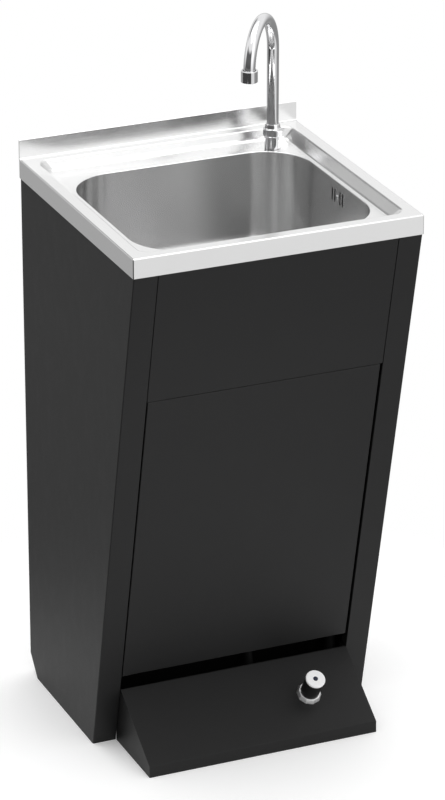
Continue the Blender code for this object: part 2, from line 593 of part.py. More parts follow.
# return spring between the plunger and the barrel's foot
SP_R, WIRE, TURNS = 8.6 * MM, 1.0 * MM, 4.5
z_lo, z_hi = -BARREL_L + 3 * MM + GAP + WIRE, -17 * MM - GAP - WIRE
coil = []
steps = int(TURNS * 10)
for i in range(steps + 1):
    k = i / steps
    a = 2 * pi * TURNS * k
    flat = 0.75 / TURNS
    h = min(max((k - flat) / (1 - 2 * flat), 0.0), 1.0)
    coil.append((SP_R * cos(a), SP_R * sin(a), z_lo + (z_hi - z_lo) * (0.08 * k + 0.92 * h)))
spring = tube("pump_spring", coil, WIRE, 0, 5, ZINC)
spring.location = MID
spring.rotation_euler = (TILT, 0, 0)

# ---------------------------------------------------------------- hose tails on the barrel
PORT_D = -30 * MM                                 # along the axis from the slope
port = MID + NORMAL * PORT_D
for name, sgn in (("pump_inlet", -1), ("pump_outlet", 1)):
    lathe(name, [(6.0 * MM, 0), (6.0 * MM, 4 * MM), (4.2 * MM, 4 * MM), (4.6 * MM, 7 * MM), (3.9 * MM, 7.4 * MM), (4.6 * MM, 11 * MM),
                 (3.9 * MM, 11.4 * MM), (4.4 * MM, 16 * MM), (2.6 * MM, 16 * MM), (2.6 * MM, 0)], 12, ZINC,
          tuple(port + Vector((sgn * (BARREL_R - 1.5 * MM + GAP), 0, 0))), (0, sgn * pi / 2, 0))

# ---------------------------------------------------------------- tanks
def tank(name, cx, mat):
    """A blow-moulded can, open at its neck."""
    cy = (2 * MM + 2 * MM + TANK_D) / 2
    x0, x1, y0, y1 = cx - TANK_W / 2, cx + TANK_W / 2, cy - TANK_D / 2, cy + TANK_D / 2
    zt = TANK_Z + TANK_H
    w = TANK_WALL
    ny = y0 + 46 * MM

    def rr(inset, r, z):
        return round_rect(x0 + inset, x1 - inset, y0 + inset, y1 - inset, r, z, 4)

    def neck(r, z):
        return [(cx + r * cos(radians(90 * q + 90 * j / 5)), ny + r * sin(radians(90 * q + 90 * j / 5)), z) for q in range(4) for j in range(5)]

    outer = [rr(10 * MM, 14 * MM, TANK_Z), rr(2.5 * MM, 20 * MM, TANK_Z + 3 * MM), rr(0, 22 * MM, TANK_Z + 11 * MM),
             rr(0, 22 * MM, zt - 34 * MM), rr(4 * MM, 22 * MM, zt - 18 * MM), rr(14 * MM, 20 * MM, zt - 8 * MM),
             neck(NECK_R + 5 * MM, zt - 3 * MM), neck(NECK_R, zt), neck(NECK_R, zt + 14 * MM)]
    inner = [neck(NECK_R - w, zt + 14 * MM), neck(NECK_R - w, zt - 1 * MM), neck(NECK_R + 4 * MM, zt - 3 * MM - w), rr(15 * MM, 19 * MM, zt - 8 * MM - w),
             rr(4 * MM + w, 20 * MM, zt - 18 * MM - w), rr(w, 20 * MM, zt - 34 * MM), rr(w, 20 * MM, TANK_Z + 11 * MM + w),
             rr(2.5 * MM + w, 18 * MM, TANK_Z + 3 * MM + w), rr(10 * MM + w, 12 * MM, TANK_Z + w)]
    p, fc = loft_data(outer + inner)
    body(name, p, fc, mat, smooth=40)
    return Vector((cx, ny, zt))


def tank_cap(name, at, r_bore, mat):
    """A ribbed screw cap bored for its hose tail."""
    n = 32
    zc = at.z
    def knurl(r, w, z):
        return [(at.x + (r + w * cos(pi * i)) * cos(2 * pi * i / n), at.y + (r + w * cos(pi * i)) * sin(2 * pi * i / n), z) for i in range(n)]
    rings = [knurl(NECK_R + 3.4 * MM, 0.5 * MM, zc + 1.5 * MM), knurl(NECK_R + 3.4 * MM, 0.5 * MM, zc + 16 * MM), knurl(NECK_R + 1.8 * MM, 0, zc + 18 * MM),
             knurl(r_bore, 0, zc + 18 * MM), knurl(r_bore, 0, zc + 14 * MM + GAP), knurl(NECK_R + GAP, 0, zc + 14 * MM + GAP), knurl(NECK_R + GAP, 0, zc + 1.5 * MM)]
    p, fc = loft_data(rings, loop=True)
    body(name, p, fc, mat, smooth=30)


TANK_CX = 103 * MM
fresh_neck = tank("fresh_tank", TANK_CX, NATURAL)
waste_neck = tank("waste_tank", -TANK_CX, GREY_TANK)
TUBE_R = 5.0 * MM
tank_cap("fresh_tank_cap", fresh_neck, TUBE_R + 0.3 * MM, BLUE_PLASTIC)
tank_cap("waste_tank_cap", waste_neck, 12.3 * MM, BLACK_PLASTIC)

# pick-up pipe through the fresh tank's cap, ending in a hose tail
lathe("pickup_pipe", [(TUBE_R, TANK_Z + 14 * MM), (TUBE_R, fresh_neck.z + 22 * MM), (3.9 * MM, fresh_neck.z + 22 * MM), (4.3 * MM, fresh_neck.z + 38 * MM),
                      (2.8 * MM, fresh_neck.z + 38 * MM), (2.8 * MM, TANK_Z + 14 * MM)], 20, WHITE_PLASTIC, (fresh_neck.x, fresh_neck.y, 0))

# ---------------------------------------------------------------- drain
DY = BOWL_CY
z0 = FLOOR_Z
lathe("drain_flange", [(36 * MM, z0 + GAP), (35.4 * MM, z0 + 1.3 * MM), (33 * MM, z0 + 2.0 * MM), (24 * MM, z0 + 1.4 * MM), (21.2 * MM, z0 + 0.6 * MM), (20.2 * MM, z0 - 0.8 * MM), (20 * MM, z0 - 3 * MM),
                       (20 * MM, z0 - 34 * MM), (21.8 * MM, z0 - 34 * MM), (21.8 * MM, z0 + GAP)], 20, CHROME, (0, DY, 0))
lathe("drain_gasket", [(34 * MM, z0 - SHEET - GAP), (34 * MM, z0 - SHEET - GAP - 2.5 * MM), (22.2 * MM, z0 - SHEET - GAP - 2.5 * MM), (22.2 * MM, z0 - SHEET - GAP)], 20, RUBBER, (0, DY, 0))
gz = z0 - SHEET - 2 * GAP - 2.5 * MM
lathe("drain_locknut", [(32 * MM, gz), (32 * MM, gz - 3 * MM), (30 * MM, gz - 3.5 * MM), (30 * MM, gz - 9 * MM), (22.2 * MM, gz - 9 * MM), (22.2 * MM, gz)], 24, BLACK_PLASTIC, (0, DY, 0), smooth=10)
# strainer plate, pierced
sz = z0 - 4.4 * MM
strainer = lathe("drain_strainer", [(19.7 * MM, sz), (19.7 * MM, sz + 1.2 * MM)], 20, CHROME, (0, DY, 0), closed=False)
for i in range(7):
    a = 2 * pi * i / 6
    r = 0 if i == 6 else 11.5 * MM
    hole = lathe("cut_strainer_%d" % (i + 1), [(3.6 * MM, -4 * MM), (3.6 * MM, 4 * MM)], 12, CHROME, (r * cos(a), DY + r * sin(a), sz), closed=False)
    boolean(strainer, hole)
# tailpiece below the flange with the hose tail
TAIL_Z = z0 - 30 * MM
lathe("drain_tailpiece", [(25 * MM, TAIL_Z + 6 * MM), (25 * MM, TAIL_Z - 14 * MM), (22 * MM, TAIL_Z - 20 * MM), (13.4 * MM, TAIL_Z - 34 * MM), (12.6 * MM, TAIL_Z - 36 * MM),
                          (13.0 * MM, TAIL_Z - 60 * MM), (11.0 * MM, TAIL_Z - 60 * MM), (11.0 * MM, TAIL_Z - 36 * MM), (20 * MM, TAIL_Z - 18 * MM), (20 * MM, TAIL_Z - 4.6 * MM),
                          (22.2 * MM, TAIL_Z - 4.6 * MM), (22.2 * MM, TAIL_Z + 6 * MM)], 20, BLACK_PLASTIC, (0, DY, 0))
# side tail for the overflow
OV_IN = Vector((25 * MM + GAP, DY, TAIL_Z - 8 * MM))
lathe("overflow_tail", [(7.5 * MM, 0), (7.5 * MM, 3 * MM), (5.6 * MM, 3 * MM), (6.0 * MM, 16 * MM), (4.2 * MM, 16 * MM), (4.2 * MM, 0)], 20, BLACK_PLASTIC, tuple(OV_IN), (0, pi / 2, 0))

# overflow box behind the bowl wall
ox = BOWL_HX + SHEET + 0.5 * MM
def plate_ring(x, hy, hz, r):
    return [(x, OVER_Y + p[0], SLOT_Z + p[1]) for p in [(q[0], q[1]) for q in round_rect(-hy, hy, -hz, hz, r, 0, 3)]]


outer = [plate_ring(ox + 15 * MM, 19 * MM, 11 * MM, 4 * MM), plate_ring(ox + 13 * MM, 22 * MM, 13 * MM, 5 * MM), plate_ring(ox, 24 * MM, 14 * MM, 5 * MM)]
inner = [plate_ring(ox, 22 * MM, 12.0 * MM, 3 * MM), plate_ring(ox + 11.5 * MM, 20 * MM, 11.0 * MM, 3 * MM), plate_ring(ox + 13 * MM, 17.5 * MM, 9.5 * MM, 3 * MM)]
pts, faces = loft_data(outer + inner)
over_box = body("overflow_box", pts, faces, BLACK_PLASTIC, smooth=40)
over_spigot = lathe("cut_overflow_spigot", [(6.0 * MM, -17 * MM), (6.0 * MM, 3 * MM)], 20, BLACK_PLASTIC,
                    (ox + 9.5 * MM, OVER_Y, SLOT_Z - 14 * MM), closed=False)
boolean(over_box, over_spigot, "UNION")
over_bore = lathe("cut_overflow_bore", [(4.2 * MM, -20 * MM), (4.2 * MM, 8 * MM)], 20, BLACK_PLASTIC,
                  (ox + 9.5 * MM, OVER_Y, SLOT_Z - 14 * MM), closed=False)
boolean(over_box, over_bore)
boss = lathe("cut_overflow_boss", [(4.5 * MM, 1 * MM), (4.5 * MM, 14 * MM)], 16, BLACK_PLASTIC, (ox, OVER_Y, SLOT_Z), (0, pi / 2, 0), closed=False)
boolean(over_box, boss, "UNION")
pilot = lathe("cut_overflow_pilot", [(2.3 * MM, -4 * MM), (2.3 * MM, 9.6 * MM)], 16, BLACK_PLASTIC, (ox, OVER_Y, SLOT_Z), (0, pi / 2, 0), closed=False)
boolean(over_box, pilot)
# screw through the wall into the box's boss
lathe("overflow_screw", [(2.0 * MM, 10 * MM), (2.0 * MM, -GAP), (3.4 * MM, -GAP), (3.3 * MM, -1.0 * MM), (2.2 * MM, -1.6 * MM), (0.8 * MM, -1.7 * MM)],
      10, CHROME, (BOWL_HX - 0.4 * MM, OVER_Y, SLOT_Z), (0, pi / 2, 0), closed=False)

# ---------------------------------------------------------------- tap
zd = DECK_Z
lathe("tap_base", [(TAP_BASE_R, zd + GAP), (TAP_BASE_R, zd + 19.5 * MM), (SPOUT_R + 0.3 * MM, zd + 19.5 * MM), (SPOUT_R + 0.3 * MM, zd + 4 * MM), (4.2 * MM, zd + 4 * MM), (4.2 * MM, zd - 46 * MM),
                   (5.6 * MM, zd - 46 * MM), (6.2 * MM, zd - 45.4 * MM), (6.2 * MM, zd - 32 * MM), (8 * MM, zd - 30 * MM), (8 * MM, zd + GAP)], 20, CHROME, (TAP_X, TAP_Y, 0))
k0 = zd + 19.5 * MM + GAP
rings = [circle(0, 0, 12.6 * MM, k0, 24), circle(0, 0, COLLAR_R, k0 + 1.6 * MM, 24), circle(0, 0, COLLAR_R, k0 + 10.5 * MM, 24), circle(0, 0, COLLAR_R - 1.2 * MM, k0 + 12 * MM, 24),
         circle(0, 0, SPOUT_R + 1.6 * MM, k0 + 19 * MM, 24), circle(0, 0, SPOUT_R + GAP, k0 + 19.5 * MM, 24), circle(0, 0, SPOUT_R + GAP, k0, 24)]


def hexed(ring, r_flat):
    """Pulls a ring in to six flats."""
    out = []
    for x, y, z in ring:
        r = sqrt(x * x + y * y)
        from_flat = max(abs(x * cos(pi / 3 * q) + y * sin(pi / 3 * q)) for q in range(3))
        k = min(1.0, r_flat / from_flat)
        out.append((x * k, y * k, z))
    return out


HEX_FLAT = 13.2 * MM
rings[1] = hexed(rings[1], HEX_FLAT)
rings[2] = hexed(rings[2], HEX_FLAT)
pts, faces = loft_data(rings, loop=True)
body("tap_collar", pts, faces, CHROME, (TAP_X, TAP_Y, 0), smooth=30)

dirv = Vector((cos(AIM), sin(AIM), 0))
spine = [Vector((0, 0, zd + 6 * MM)), Vector((0, 0, ARCH_Z - 60 * MM))]
ARCS = 14
for i in range(ARCS + 1):
    a = pi * i / ARCS
    spine.append(dirv * (ARCH_R * (1 - cos(a))) + Vector((0, 0, ARCH_Z + ARCH_R * sin(a))))
az = 979.2 * MM                                   # mouth of the aerator
spine.append(dirv * (2 * ARCH_R) + Vector((0, 0, az + 10 * MM)))
spout = tube("spout", spine, SPOUT_R, SPOUT_BORE, 14, CHROME)
spout_axis = bpy.data.objects.new("spout_axis", None)
bpy.context.scene.collection.objects.link(spout_axis)
spout_axis.location = (TAP_X, TAP_Y, 0)
spout.parent = spout_axis

TIP = dirv * (2 * ARCH_R)
aerator = lathe("aerator_body", [(12.5 * MM, az), (12.5 * MM, az + 17.0 * MM), (11.7 * MM, az + 18.0 * MM), (10.2 * MM, az + 18.0 * MM), (10.2 * MM, az + 9 * MM), (11.0 * MM, az + 9 * MM), (11.0 * MM, az)],
       20, CHROME, tuple(TIP))
aerator_insert = lathe("aerator_insert", [(10.7 * MM, az + 0.8 * MM), (10.7 * MM, az + 8.6 * MM), (7.4 * MM, az + 8.6 * MM), (7.4 * MM, az + 3 * MM), (6.6 * MM, az + 3 * MM), (6.6 * MM, az + 0.8 * MM)], 20, WHITE_PLASTIC, tuple(TIP))
aerator_screen = lathe("aerator_screen", [(7.1 * MM, az + 3.3 * MM), (7.1 * MM, az + 4.3 * MM), (1.0 * MM, az + 4.3 * MM), (1.0 * MM, az + 3.3 * MM)], 16, ZINC, tuple(TIP))
for piece in (aerator, aerator_insert, aerator_screen):
    piece.parent = spout_axis

# fixing under the deck
uz = DECK_Z - SHEET - GAP
lathe("tap_gasket", [(12.8 * MM, uz), (12.8 * MM, uz - 2 * MM), (8.3 * MM, uz - 2 * MM), (8.3 * MM, uz)], 20, RUBBER, (TAP_X, TAP_Y, 0))
nz = uz - 2 * MM - GAP
nut_rings = [circle(0, 0, 13.0 * MM, nz, 24), circle(0, 0, 13.0 * MM, nz - 9 * MM, 24), circle(0, 0, 8.3 * MM, nz - 9 * MM, 24), circle(0, 0, 8.3 * MM, nz, 24)]
nut_rings[0] = hexed(nut_rings[0], 11.6 * MM)
nut_rings[1] = hexed(nut_rings[1], 11.6 * MM)
pts, faces = loft_data(nut_rings, loop=True)
body("tap_locknut", pts, faces, ZINC, (TAP_X, TAP_Y, 0), smooth=20)

# ---------------------------------------------------------------- hoses, whole between their tails
HOSE_R, HOSE_BORE = 7.4 * MM, 5.7 * MM
p_in = port + Vector((-(BARREL_R - 1.5 * MM + GAP) - 5 * MM, 0, 0))
suction = smooth_path([p_in, p_in + Vector((-14 * MM, 0, 0)), (46 * MM, -84 * MM, 34 * MM), (38 * MM, -47 * MM, 56 * MM), (36 * MM, -30 * MM, 98 * MM), (44 * MM, -30 * MM, 200 * MM), (58 * MM, -28 * MM, 330 * MM),
                       (84 * MM, 8 * MM, 430 * MM), (fresh_neck.x, fresh_neck.y - 4 * MM, fresh_neck.z + 76 * MM), (fresh_neck.x, fresh_neck.y, fresh_neck.z + 44 * MM), (fresh_neck.x, fresh_neck.y, fresh_neck.z + 23 * MM)], 38 * MM)
tube("suction_hose", suction, HOSE_R, HOSE_BORE, 8, HOSE_BLACK)
p_out = port + Vector((BARREL_R - 1.5 * MM + GAP + 5 * MM, 0, 0))
supply = smooth_path([p_out, p_out + Vector((12 * MM, 0, 0)), (160 * MM, -84 * MM, 34 * MM), (168 * MM, -47 * MM, 56 * MM), (174 * MM, -29 * MM, 98 * MM), (186 * MM, -28 * MM, 220 * MM), (204 * MM, 10 * MM, 380 * MM),
                      (204 * MM, 120 * MM, 470 * MM), (194 * MM, 176 * MM, 600 * MM), (166 * MM, 170 * MM, 730 * MM), (TAP_X, TAP_Y, zd - 68 * MM), (TAP_X, TAP_Y, zd - 33 * MM)], 42 * MM)
tube("supply_hose", supply, HOSE_R + 1.4 * MM, HOSE_BORE + 1.7 * MM, 8, HOSE_BLACK)
W_R, W_BORE = 16.4 * MM, 14.4 * MM
waste_lathe_top = Vector((0, DY, TAIL_Z - 38 * MM))
waste = smooth_path([waste_lathe_top, waste_lathe_top + Vector((0, 0, -28 * MM)), (-16 * MM, -2 * MM, 530 * MM), (-70 * MM, 32 * MM, 474 * MM),
                     (waste_neck.x, waste_neck.y, waste_neck.z + 78 * MM), (waste_neck.x, waste_neck.y, waste_neck.z + 45 * MM), (waste_neck.x, waste_neck.y, waste_neck.z + 21.4 * MM)], 30 * MM)
tube("waste_hose", waste, W_R, W_BORE, 10, HOSE_GREY)
lathe("waste_inlet", [(12.0 * MM, waste_neck.z - 14 * MM), (12.0 * MM, waste_neck.z + 18.3 * MM), (15.0 * MM, waste_neck.z + 18.3 * MM), (15.0 * MM, waste_neck.z + 21 * MM), (12.9 * MM, waste_neck.z + 21 * MM),
                      (13.0 * MM, waste_neck.z + 40 * MM), (10.8 * MM, waste_neck.z + 40 * MM), (10.8 * MM, waste_neck.z - 14 * MM)], 16, BLACK_PLASTIC, (waste_neck.x, waste_neck.y, 0))
o_top = Vector((ox + 9.5 * MM, OVER_Y, SLOT_Z - 14 * MM - 3 * MM))
over = smooth_path([o_top, o_top + Vector((0, 0, -30 * MM)), (203 * MM, OVER_Y, 716 * MM), (170 * MM, OVER_Y, 655 * MM), (100 * MM, OVER_Y, 646 * MM), OV_IN + Vector((18 * MM, 0, 0)), OV_IN + Vector((4 * MM, 0, 0))], 30 * MM)
tube("overflow_hose", over, 8.6 * MM, 6.9 * MM, 8, HOSE_GREY)
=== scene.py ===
import json
import math
from math import pi, sin, cos, sqrt, radians
import bmesh
import bpy
from mathutils import Vector, Matrix

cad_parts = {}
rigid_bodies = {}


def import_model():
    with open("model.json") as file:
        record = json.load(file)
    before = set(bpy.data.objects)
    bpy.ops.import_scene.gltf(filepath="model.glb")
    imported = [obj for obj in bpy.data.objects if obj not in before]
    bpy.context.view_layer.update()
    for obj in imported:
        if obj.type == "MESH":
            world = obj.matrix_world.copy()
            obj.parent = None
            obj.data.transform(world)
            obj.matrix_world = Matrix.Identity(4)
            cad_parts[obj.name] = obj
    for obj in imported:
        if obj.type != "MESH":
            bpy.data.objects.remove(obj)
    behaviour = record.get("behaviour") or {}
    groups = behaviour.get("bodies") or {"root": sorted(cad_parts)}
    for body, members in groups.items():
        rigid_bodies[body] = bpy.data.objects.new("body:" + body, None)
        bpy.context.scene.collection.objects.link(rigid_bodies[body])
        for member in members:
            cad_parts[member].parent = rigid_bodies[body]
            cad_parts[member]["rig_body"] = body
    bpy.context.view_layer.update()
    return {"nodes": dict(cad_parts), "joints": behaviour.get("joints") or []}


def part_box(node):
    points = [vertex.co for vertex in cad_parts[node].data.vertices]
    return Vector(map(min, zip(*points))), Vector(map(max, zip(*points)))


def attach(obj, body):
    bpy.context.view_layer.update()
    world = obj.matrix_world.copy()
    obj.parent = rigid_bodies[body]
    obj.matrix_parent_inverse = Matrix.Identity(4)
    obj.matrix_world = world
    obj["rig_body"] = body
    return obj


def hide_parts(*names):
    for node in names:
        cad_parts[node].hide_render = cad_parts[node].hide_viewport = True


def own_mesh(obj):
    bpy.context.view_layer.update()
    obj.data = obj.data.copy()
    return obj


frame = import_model()
NODES = frame["nodes"]
MM = 0.001
scene = bpy.context.scene
scene.view_settings.view_transform = "Standard"

# ---------------------------------------------------------------- camera
cam_data = bpy.data.cameras.new("camera")
cam = bpy.data.objects.new("camera", cam_data)
scene.collection.objects.link(cam)
AZ, EL = radians(-23.256), radians(23.195)
back = Vector((sin(AZ) * cos(EL), -cos(AZ) * cos(EL), sin(EL)))
cam.location = (-2.1993, -5.1343, 2.9044)
cam.rotation_mode = "QUATERNION"
cam.rotation_quaternion = (-back).to_track_quat("-Z", "Y")
cam_data.sensor_width = 36.0
cam_data.lens = 4078.1 * 36.0 / 800.0
cam_data.clip_start, cam_data.clip_end = 0.1, 100.0
scene.camera = cam


# ---------------------------------------------------------------- node helpers
class Mat:
    """A material being wired: node() adds one, link() joins two sockets."""

    def __init__(self, name):
        self.m = bpy.data.materials.new(name)
        self.m.use_nodes = True
        self.t = self.m.node_tree
        self.b = self.t.nodes["Principled BSDF"]

    def node(self, kind, **kw):
        n = self.t.nodes.new(kind)
        for k, v in kw.items():
            setattr(n, k, v)
        return n

    def link(self, a, b):
        self.t.links.new(a, b)

    def coords(self, scale=(1, 1, 1), rotation=(0, 0, 0), location=(0, 0, 0)):
        tc = self.node("ShaderNodeTexCoord")
        mp = self.node("ShaderNodeMapping")
        mp.inputs["Scale"].default_value = scale
        mp.inputs["Rotation"].default_value = rotation
        mp.inputs["Location"].default_value = location
        self.link(tc.outputs["Object"], mp.inputs["Vector"])
        return mp.outputs["Vector"]

    def noise(self, vec, scale, detail=3.0, rough=0.55, distortion=0.0):
        n = self.node("ShaderNodeTexNoise")
        n.inputs["Scale"].default_value = scale
        n.inputs["Detail"].default_value = detail
        n.inputs["Roughness"].default_value = rough
        n.inputs["Distortion"].default_value = distortion
        self.link(vec, n.inputs["Vector"])
        return n.outputs["Fac"]

    def remap(self, value, a, b, lo, hi):
        n = self.node("ShaderNodeMapRange")
        n.inputs["From Min"].default_value = a
        n.inputs["From Max"].default_value = b
        n.inputs["To Min"].default_value = lo
        n.inputs["To Max"].default_value = hi
        self.link(value, n.inputs["Value"])
        return n.outputs["Result"]

    def math(self, op, a, b=None):
        n = self.node("ShaderNodeMath", operation=op)
        for i, v in enumerate((a, b)):
            if v is None:
                continue
            if isinstance(v, (int, float)):
                n.inputs[i].default_value = v
            else:
                self.link(v, n.inputs[i])
        return n.outputs[0]

    def mix(self, fac, c1, c2):
        n = self.node("ShaderNodeMix", data_type="RGBA")
        for idx, v in ((0, fac), (6, c1), (7, c2)):
            if isinstance(v, (int, float)):
                n.inputs[idx].default_value = v
            elif isinstance(v, tuple):
                n.inputs[idx].default_value = (*v, 1.0) if len(v) == 3 else v
            else:
                self.link(v, n.inputs[idx])
        return n.outputs[2]

    def bump(self, height, strength, distance=0.001, normal=None):
        n = self.node("ShaderNodeBump")
        n.inputs["Strength"].default_value = strength
        n.inputs["Distance"].default_value = distance
        self.link(height, n.inputs["Height"])
        if normal is not None:
            self.link(normal, n.inputs["Normal"])
        return n.outputs["Normal"]

    def set(self, **kw):
        for k, v in kw.items():
            sock = self.b.inputs[k.replace("_", " ")]
            if isinstance(v, (int, float)):
                sock.default_value = v
            elif isinstance(v, tuple):
                sock.default_value = (*v, 1.0) if len(v) == 3 else v
            else:
                self.link(v, sock)
        return self


def steel(name, tint, rough, stretch, scale=420.0, anis=0.0, rotation=0.0, grain=0.05, band=None, mottle=0.03, spread=1.0):
    """Satin stainless: streaks of grain along one axis, soft clouding, fine bump."""
    m = Mat(name)
    v = m.coords(stretch)
    streak = m.noise(v, scale, 4.0, 0.65)
    cloud = m.noise(m.coords((1, 1, 1)), 9.0, 3.0, 0.55)
    handled = m.noise(m.coords((1, 1, 1), location=(3.1, 0.7, 1.9)), 26.0, 4.0, 0.6)
    r = m.remap(streak, 0.25, 0.75, rough - 0.03 * spread, rough + 0.035 * spread)
    r = m.math("ADD", r, m.remap(handled, 0.4, 0.7, -0.01 * spread, 0.02 * spread))
    c = m.mix(m.remap(streak, 0.3, 0.7, 0.0, 1.0), tuple(k * (1.0 - mottle) for k in tint), tint)
    c = m.mix(m.remap(cloud, 0.35, 0.65, 0.0, 0.35), c, tuple(k * (1.0 - 1.4 * mottle) for k in tint))
    if band is not None:
        c = band(m, c)
    m.set(Base_Color=c, Metallic=1.0, Roughness=r, Normal=m.bump(streak, grain, 0.0004))
    if anis:
        m.b.inputs["Anisotropic"].default_value = anis
        m.b.inputs["Anisotropic Rotation"].default_value = rotation
        t = m.node("ShaderNodeTangent", direction_type="RADIAL", axis="Z")
        m.link(t.outputs["Tangent"], m.b.inputs["Tangent"])
    return m.m


def chrome(name, tint=(0.80, 0.80, 0.81), rough=0.035):
    m = Mat(name)
    v = m.coords()
    haze = m.noise(v, 60.0, 4.0, 0.6)
    spots = m.noise(v, 520.0, 2.0, 0.5)
    r = m.remap(haze, 0.35, 0.75, rough * 0.7, rough * 1.8)
    r = m.math("ADD", r, m.remap(spots, 0.70, 0.80, 0.0, 0.06))
    c = m.mix(m.remap(haze, 0.3, 0.7, 0.0, 1.0), tint, tuple(k * 0.94 for k in tint))
    m.set(Base_Color=c, Metallic=1.0, Roughness=r, Normal=m.bump(haze, 0.004, 0.0002))
    return m.m


def edge_mask(m, radius=0.0016):
    """1 along worn edges that also take a painted sheen, 0 on flats, from the rounded normal."""
    g = m.node("ShaderNodeNewGeometry")
    bv = m.node("ShaderNodeBevel", samples=4)
    bv.inputs["Radius"].default_value = radius
    dot = m.node("ShaderNodeVectorMath", operation="DOT_PRODUCT")
    m.link(g.outputs["Normal"], dot.inputs[0])
    m.link(bv.outputs["Normal"], dot.inputs[1])
    return m.remap(dot.outputs["Value"], 0.97, 0.80, 0.0, 1.0)


def powder(name, tint, rough=0.50, spec=0.28, texture=0.14, wear_and_sheen=0.22, floor_shade=0.30):
    """Powder coat: fine orange peel, faint tone drift, edges rubbed a little lighter and smoother (the lighter part
    partly a painted sheen), and painted shade darkening the colour toward the floor.
    """
    m = Mat(name)
    v = m.coords()
    peel = m.noise(v, 950.0, 2.0, 0.5)
    grit = m.noise(v, 2600.0, 1.0, 0.5)
    drift = m.noise(v, 5.0, 3.0, 0.55)
    rub = m.noise(m.coords((1, 1, 0.5), location=(5, 1, 2)), 45.0, 4.0, 0.62)
    c = m.mix(m.remap(drift, 0.3, 0.7, 0.0, 1.0), tuple(k * 0.96 for k in tint), tuple(k * 1.04 for k in tint))
    c = m.mix(m.remap(peel, 0.35, 0.7, 0.0, 0.5), c, tuple(k * 1.18 for k in tint))
    # painted shade: the coat's colour is darkened toward the floor, in place of the shade that falls low on the cabinet
    tall = m.node("ShaderNodeSeparateXYZ")
    m.link(v, tall.inputs[0])
    c = m.mix(m.remap(tall.outputs["Z"], 0.02, 0.62, 1.0 - floor_shade, 0.0), c, (0.0, 0.0, 0.0))
    r = m.remap(peel, 0.3, 0.7, rough - 0.03, rough + 0.04)
    r = m.math("ADD", r, m.remap(rub, 0.45, 0.75, 0.01, -0.02))
    if wear_and_sheen:
        # edges painted lighter: partly rubbing wear, partly a painted sheen along the folds
        e = m.math("MULTIPLY", edge_mask(m), m.remap(rub, 0.42, 0.62, 0.25, 1.0))
        c = m.mix(m.math("MULTIPLY", e, wear_and_sheen), c, tuple(min(1.0, k * 2.0 + 0.008) for k in tint))
        r = m.math("SUBTRACT", r, m.math("MULTIPLY", e, 0.12))
    h = m.math("ADD", peel, m.math("MULTIPLY", grit, 0.35))
    m.set(Base_Color=c, Roughness=r, Normal=m.bump(h, texture, 0.0002))
    m.b.inputs["Specular IOR Level"].default_value = spec
    return m.m


def plastic(name, tint, rough=0.4, spec=0.5, texture=0.05, scale=700.0, vary=0.08, subsurface=0.0, transmission=0.0):
    m = Mat(name)
    v = m.coords()
    grain = m.noise(v, scale, 3.0, 0.55)
    drift = m.noise(v, 14.0, 3.0, 0.55)
    scuff = m.noise(m.coords((1, 1, 0.3), location=(2, 4, 1)), 90.0, 5.0, 0.66)
    c = m.mix(m.remap(drift, 0.3, 0.7, 0.0, 1.0), tuple(k * (1 - vary) for k in tint), tuple(min(1.0, k * (1 + vary)) for k in tint))
    r = m.remap(grain, 0.3, 0.7, rough - 0.04, rough + 0.05)
    r = m.math("ADD", r, m.remap(scuff, 0.55, 0.72, 0.0, 0.14))
    m.set(Base_Color=c, Roughness=r, Normal=m.bump(grain, texture, 0.0003))
    m.b.inputs["Specular IOR Level"].default_value = spec
    if transmission:
        m.b.inputs["Transmission Weight"].default_value = transmission
        m.b.inputs["IOR"].default_value = 1.45
    if subsurface:
        m.b.inputs["Subsurface Weight"].default_value = subsurface
        m.b.inputs["Subsurface Radius"].default_value = (0.01, 0.01, 0.01)
    return m.m


def zinc(name):
    """Bright zinc plate: spangled tone, faint warm and blue passivation."""
    m = Mat(name)
    v = m.coords()
    spangle = m.node("ShaderNodeTexVoronoi")
    spangle.inputs["Scale"].default_value = 260.0
    m.link(v, spangle.inputs["Vector"])
    tone = m.noise(v, 40.0, 4.0, 0.6)
    c = m.mix(m.remap(tone, 0.35, 0.65, 0.0, 1.0), (0.60, 0.59, 0.55), (0.54, 0.57, 0.60))
    c = m.mix(m.remap(spangle.outputs["Distance"], 0.0, 0.8, 0.0, 0.25), c, (0.70, 0.70, 0.68))
    r = m.remap(tone, 0.3, 0.7, 0.30, 0.46)
    m.set(Base_Color=c, Metallic=1.0, Roughness=r, Normal=m.bump(spangle.outputs["Distance"], 0.04, 0.0004))
    return m.m


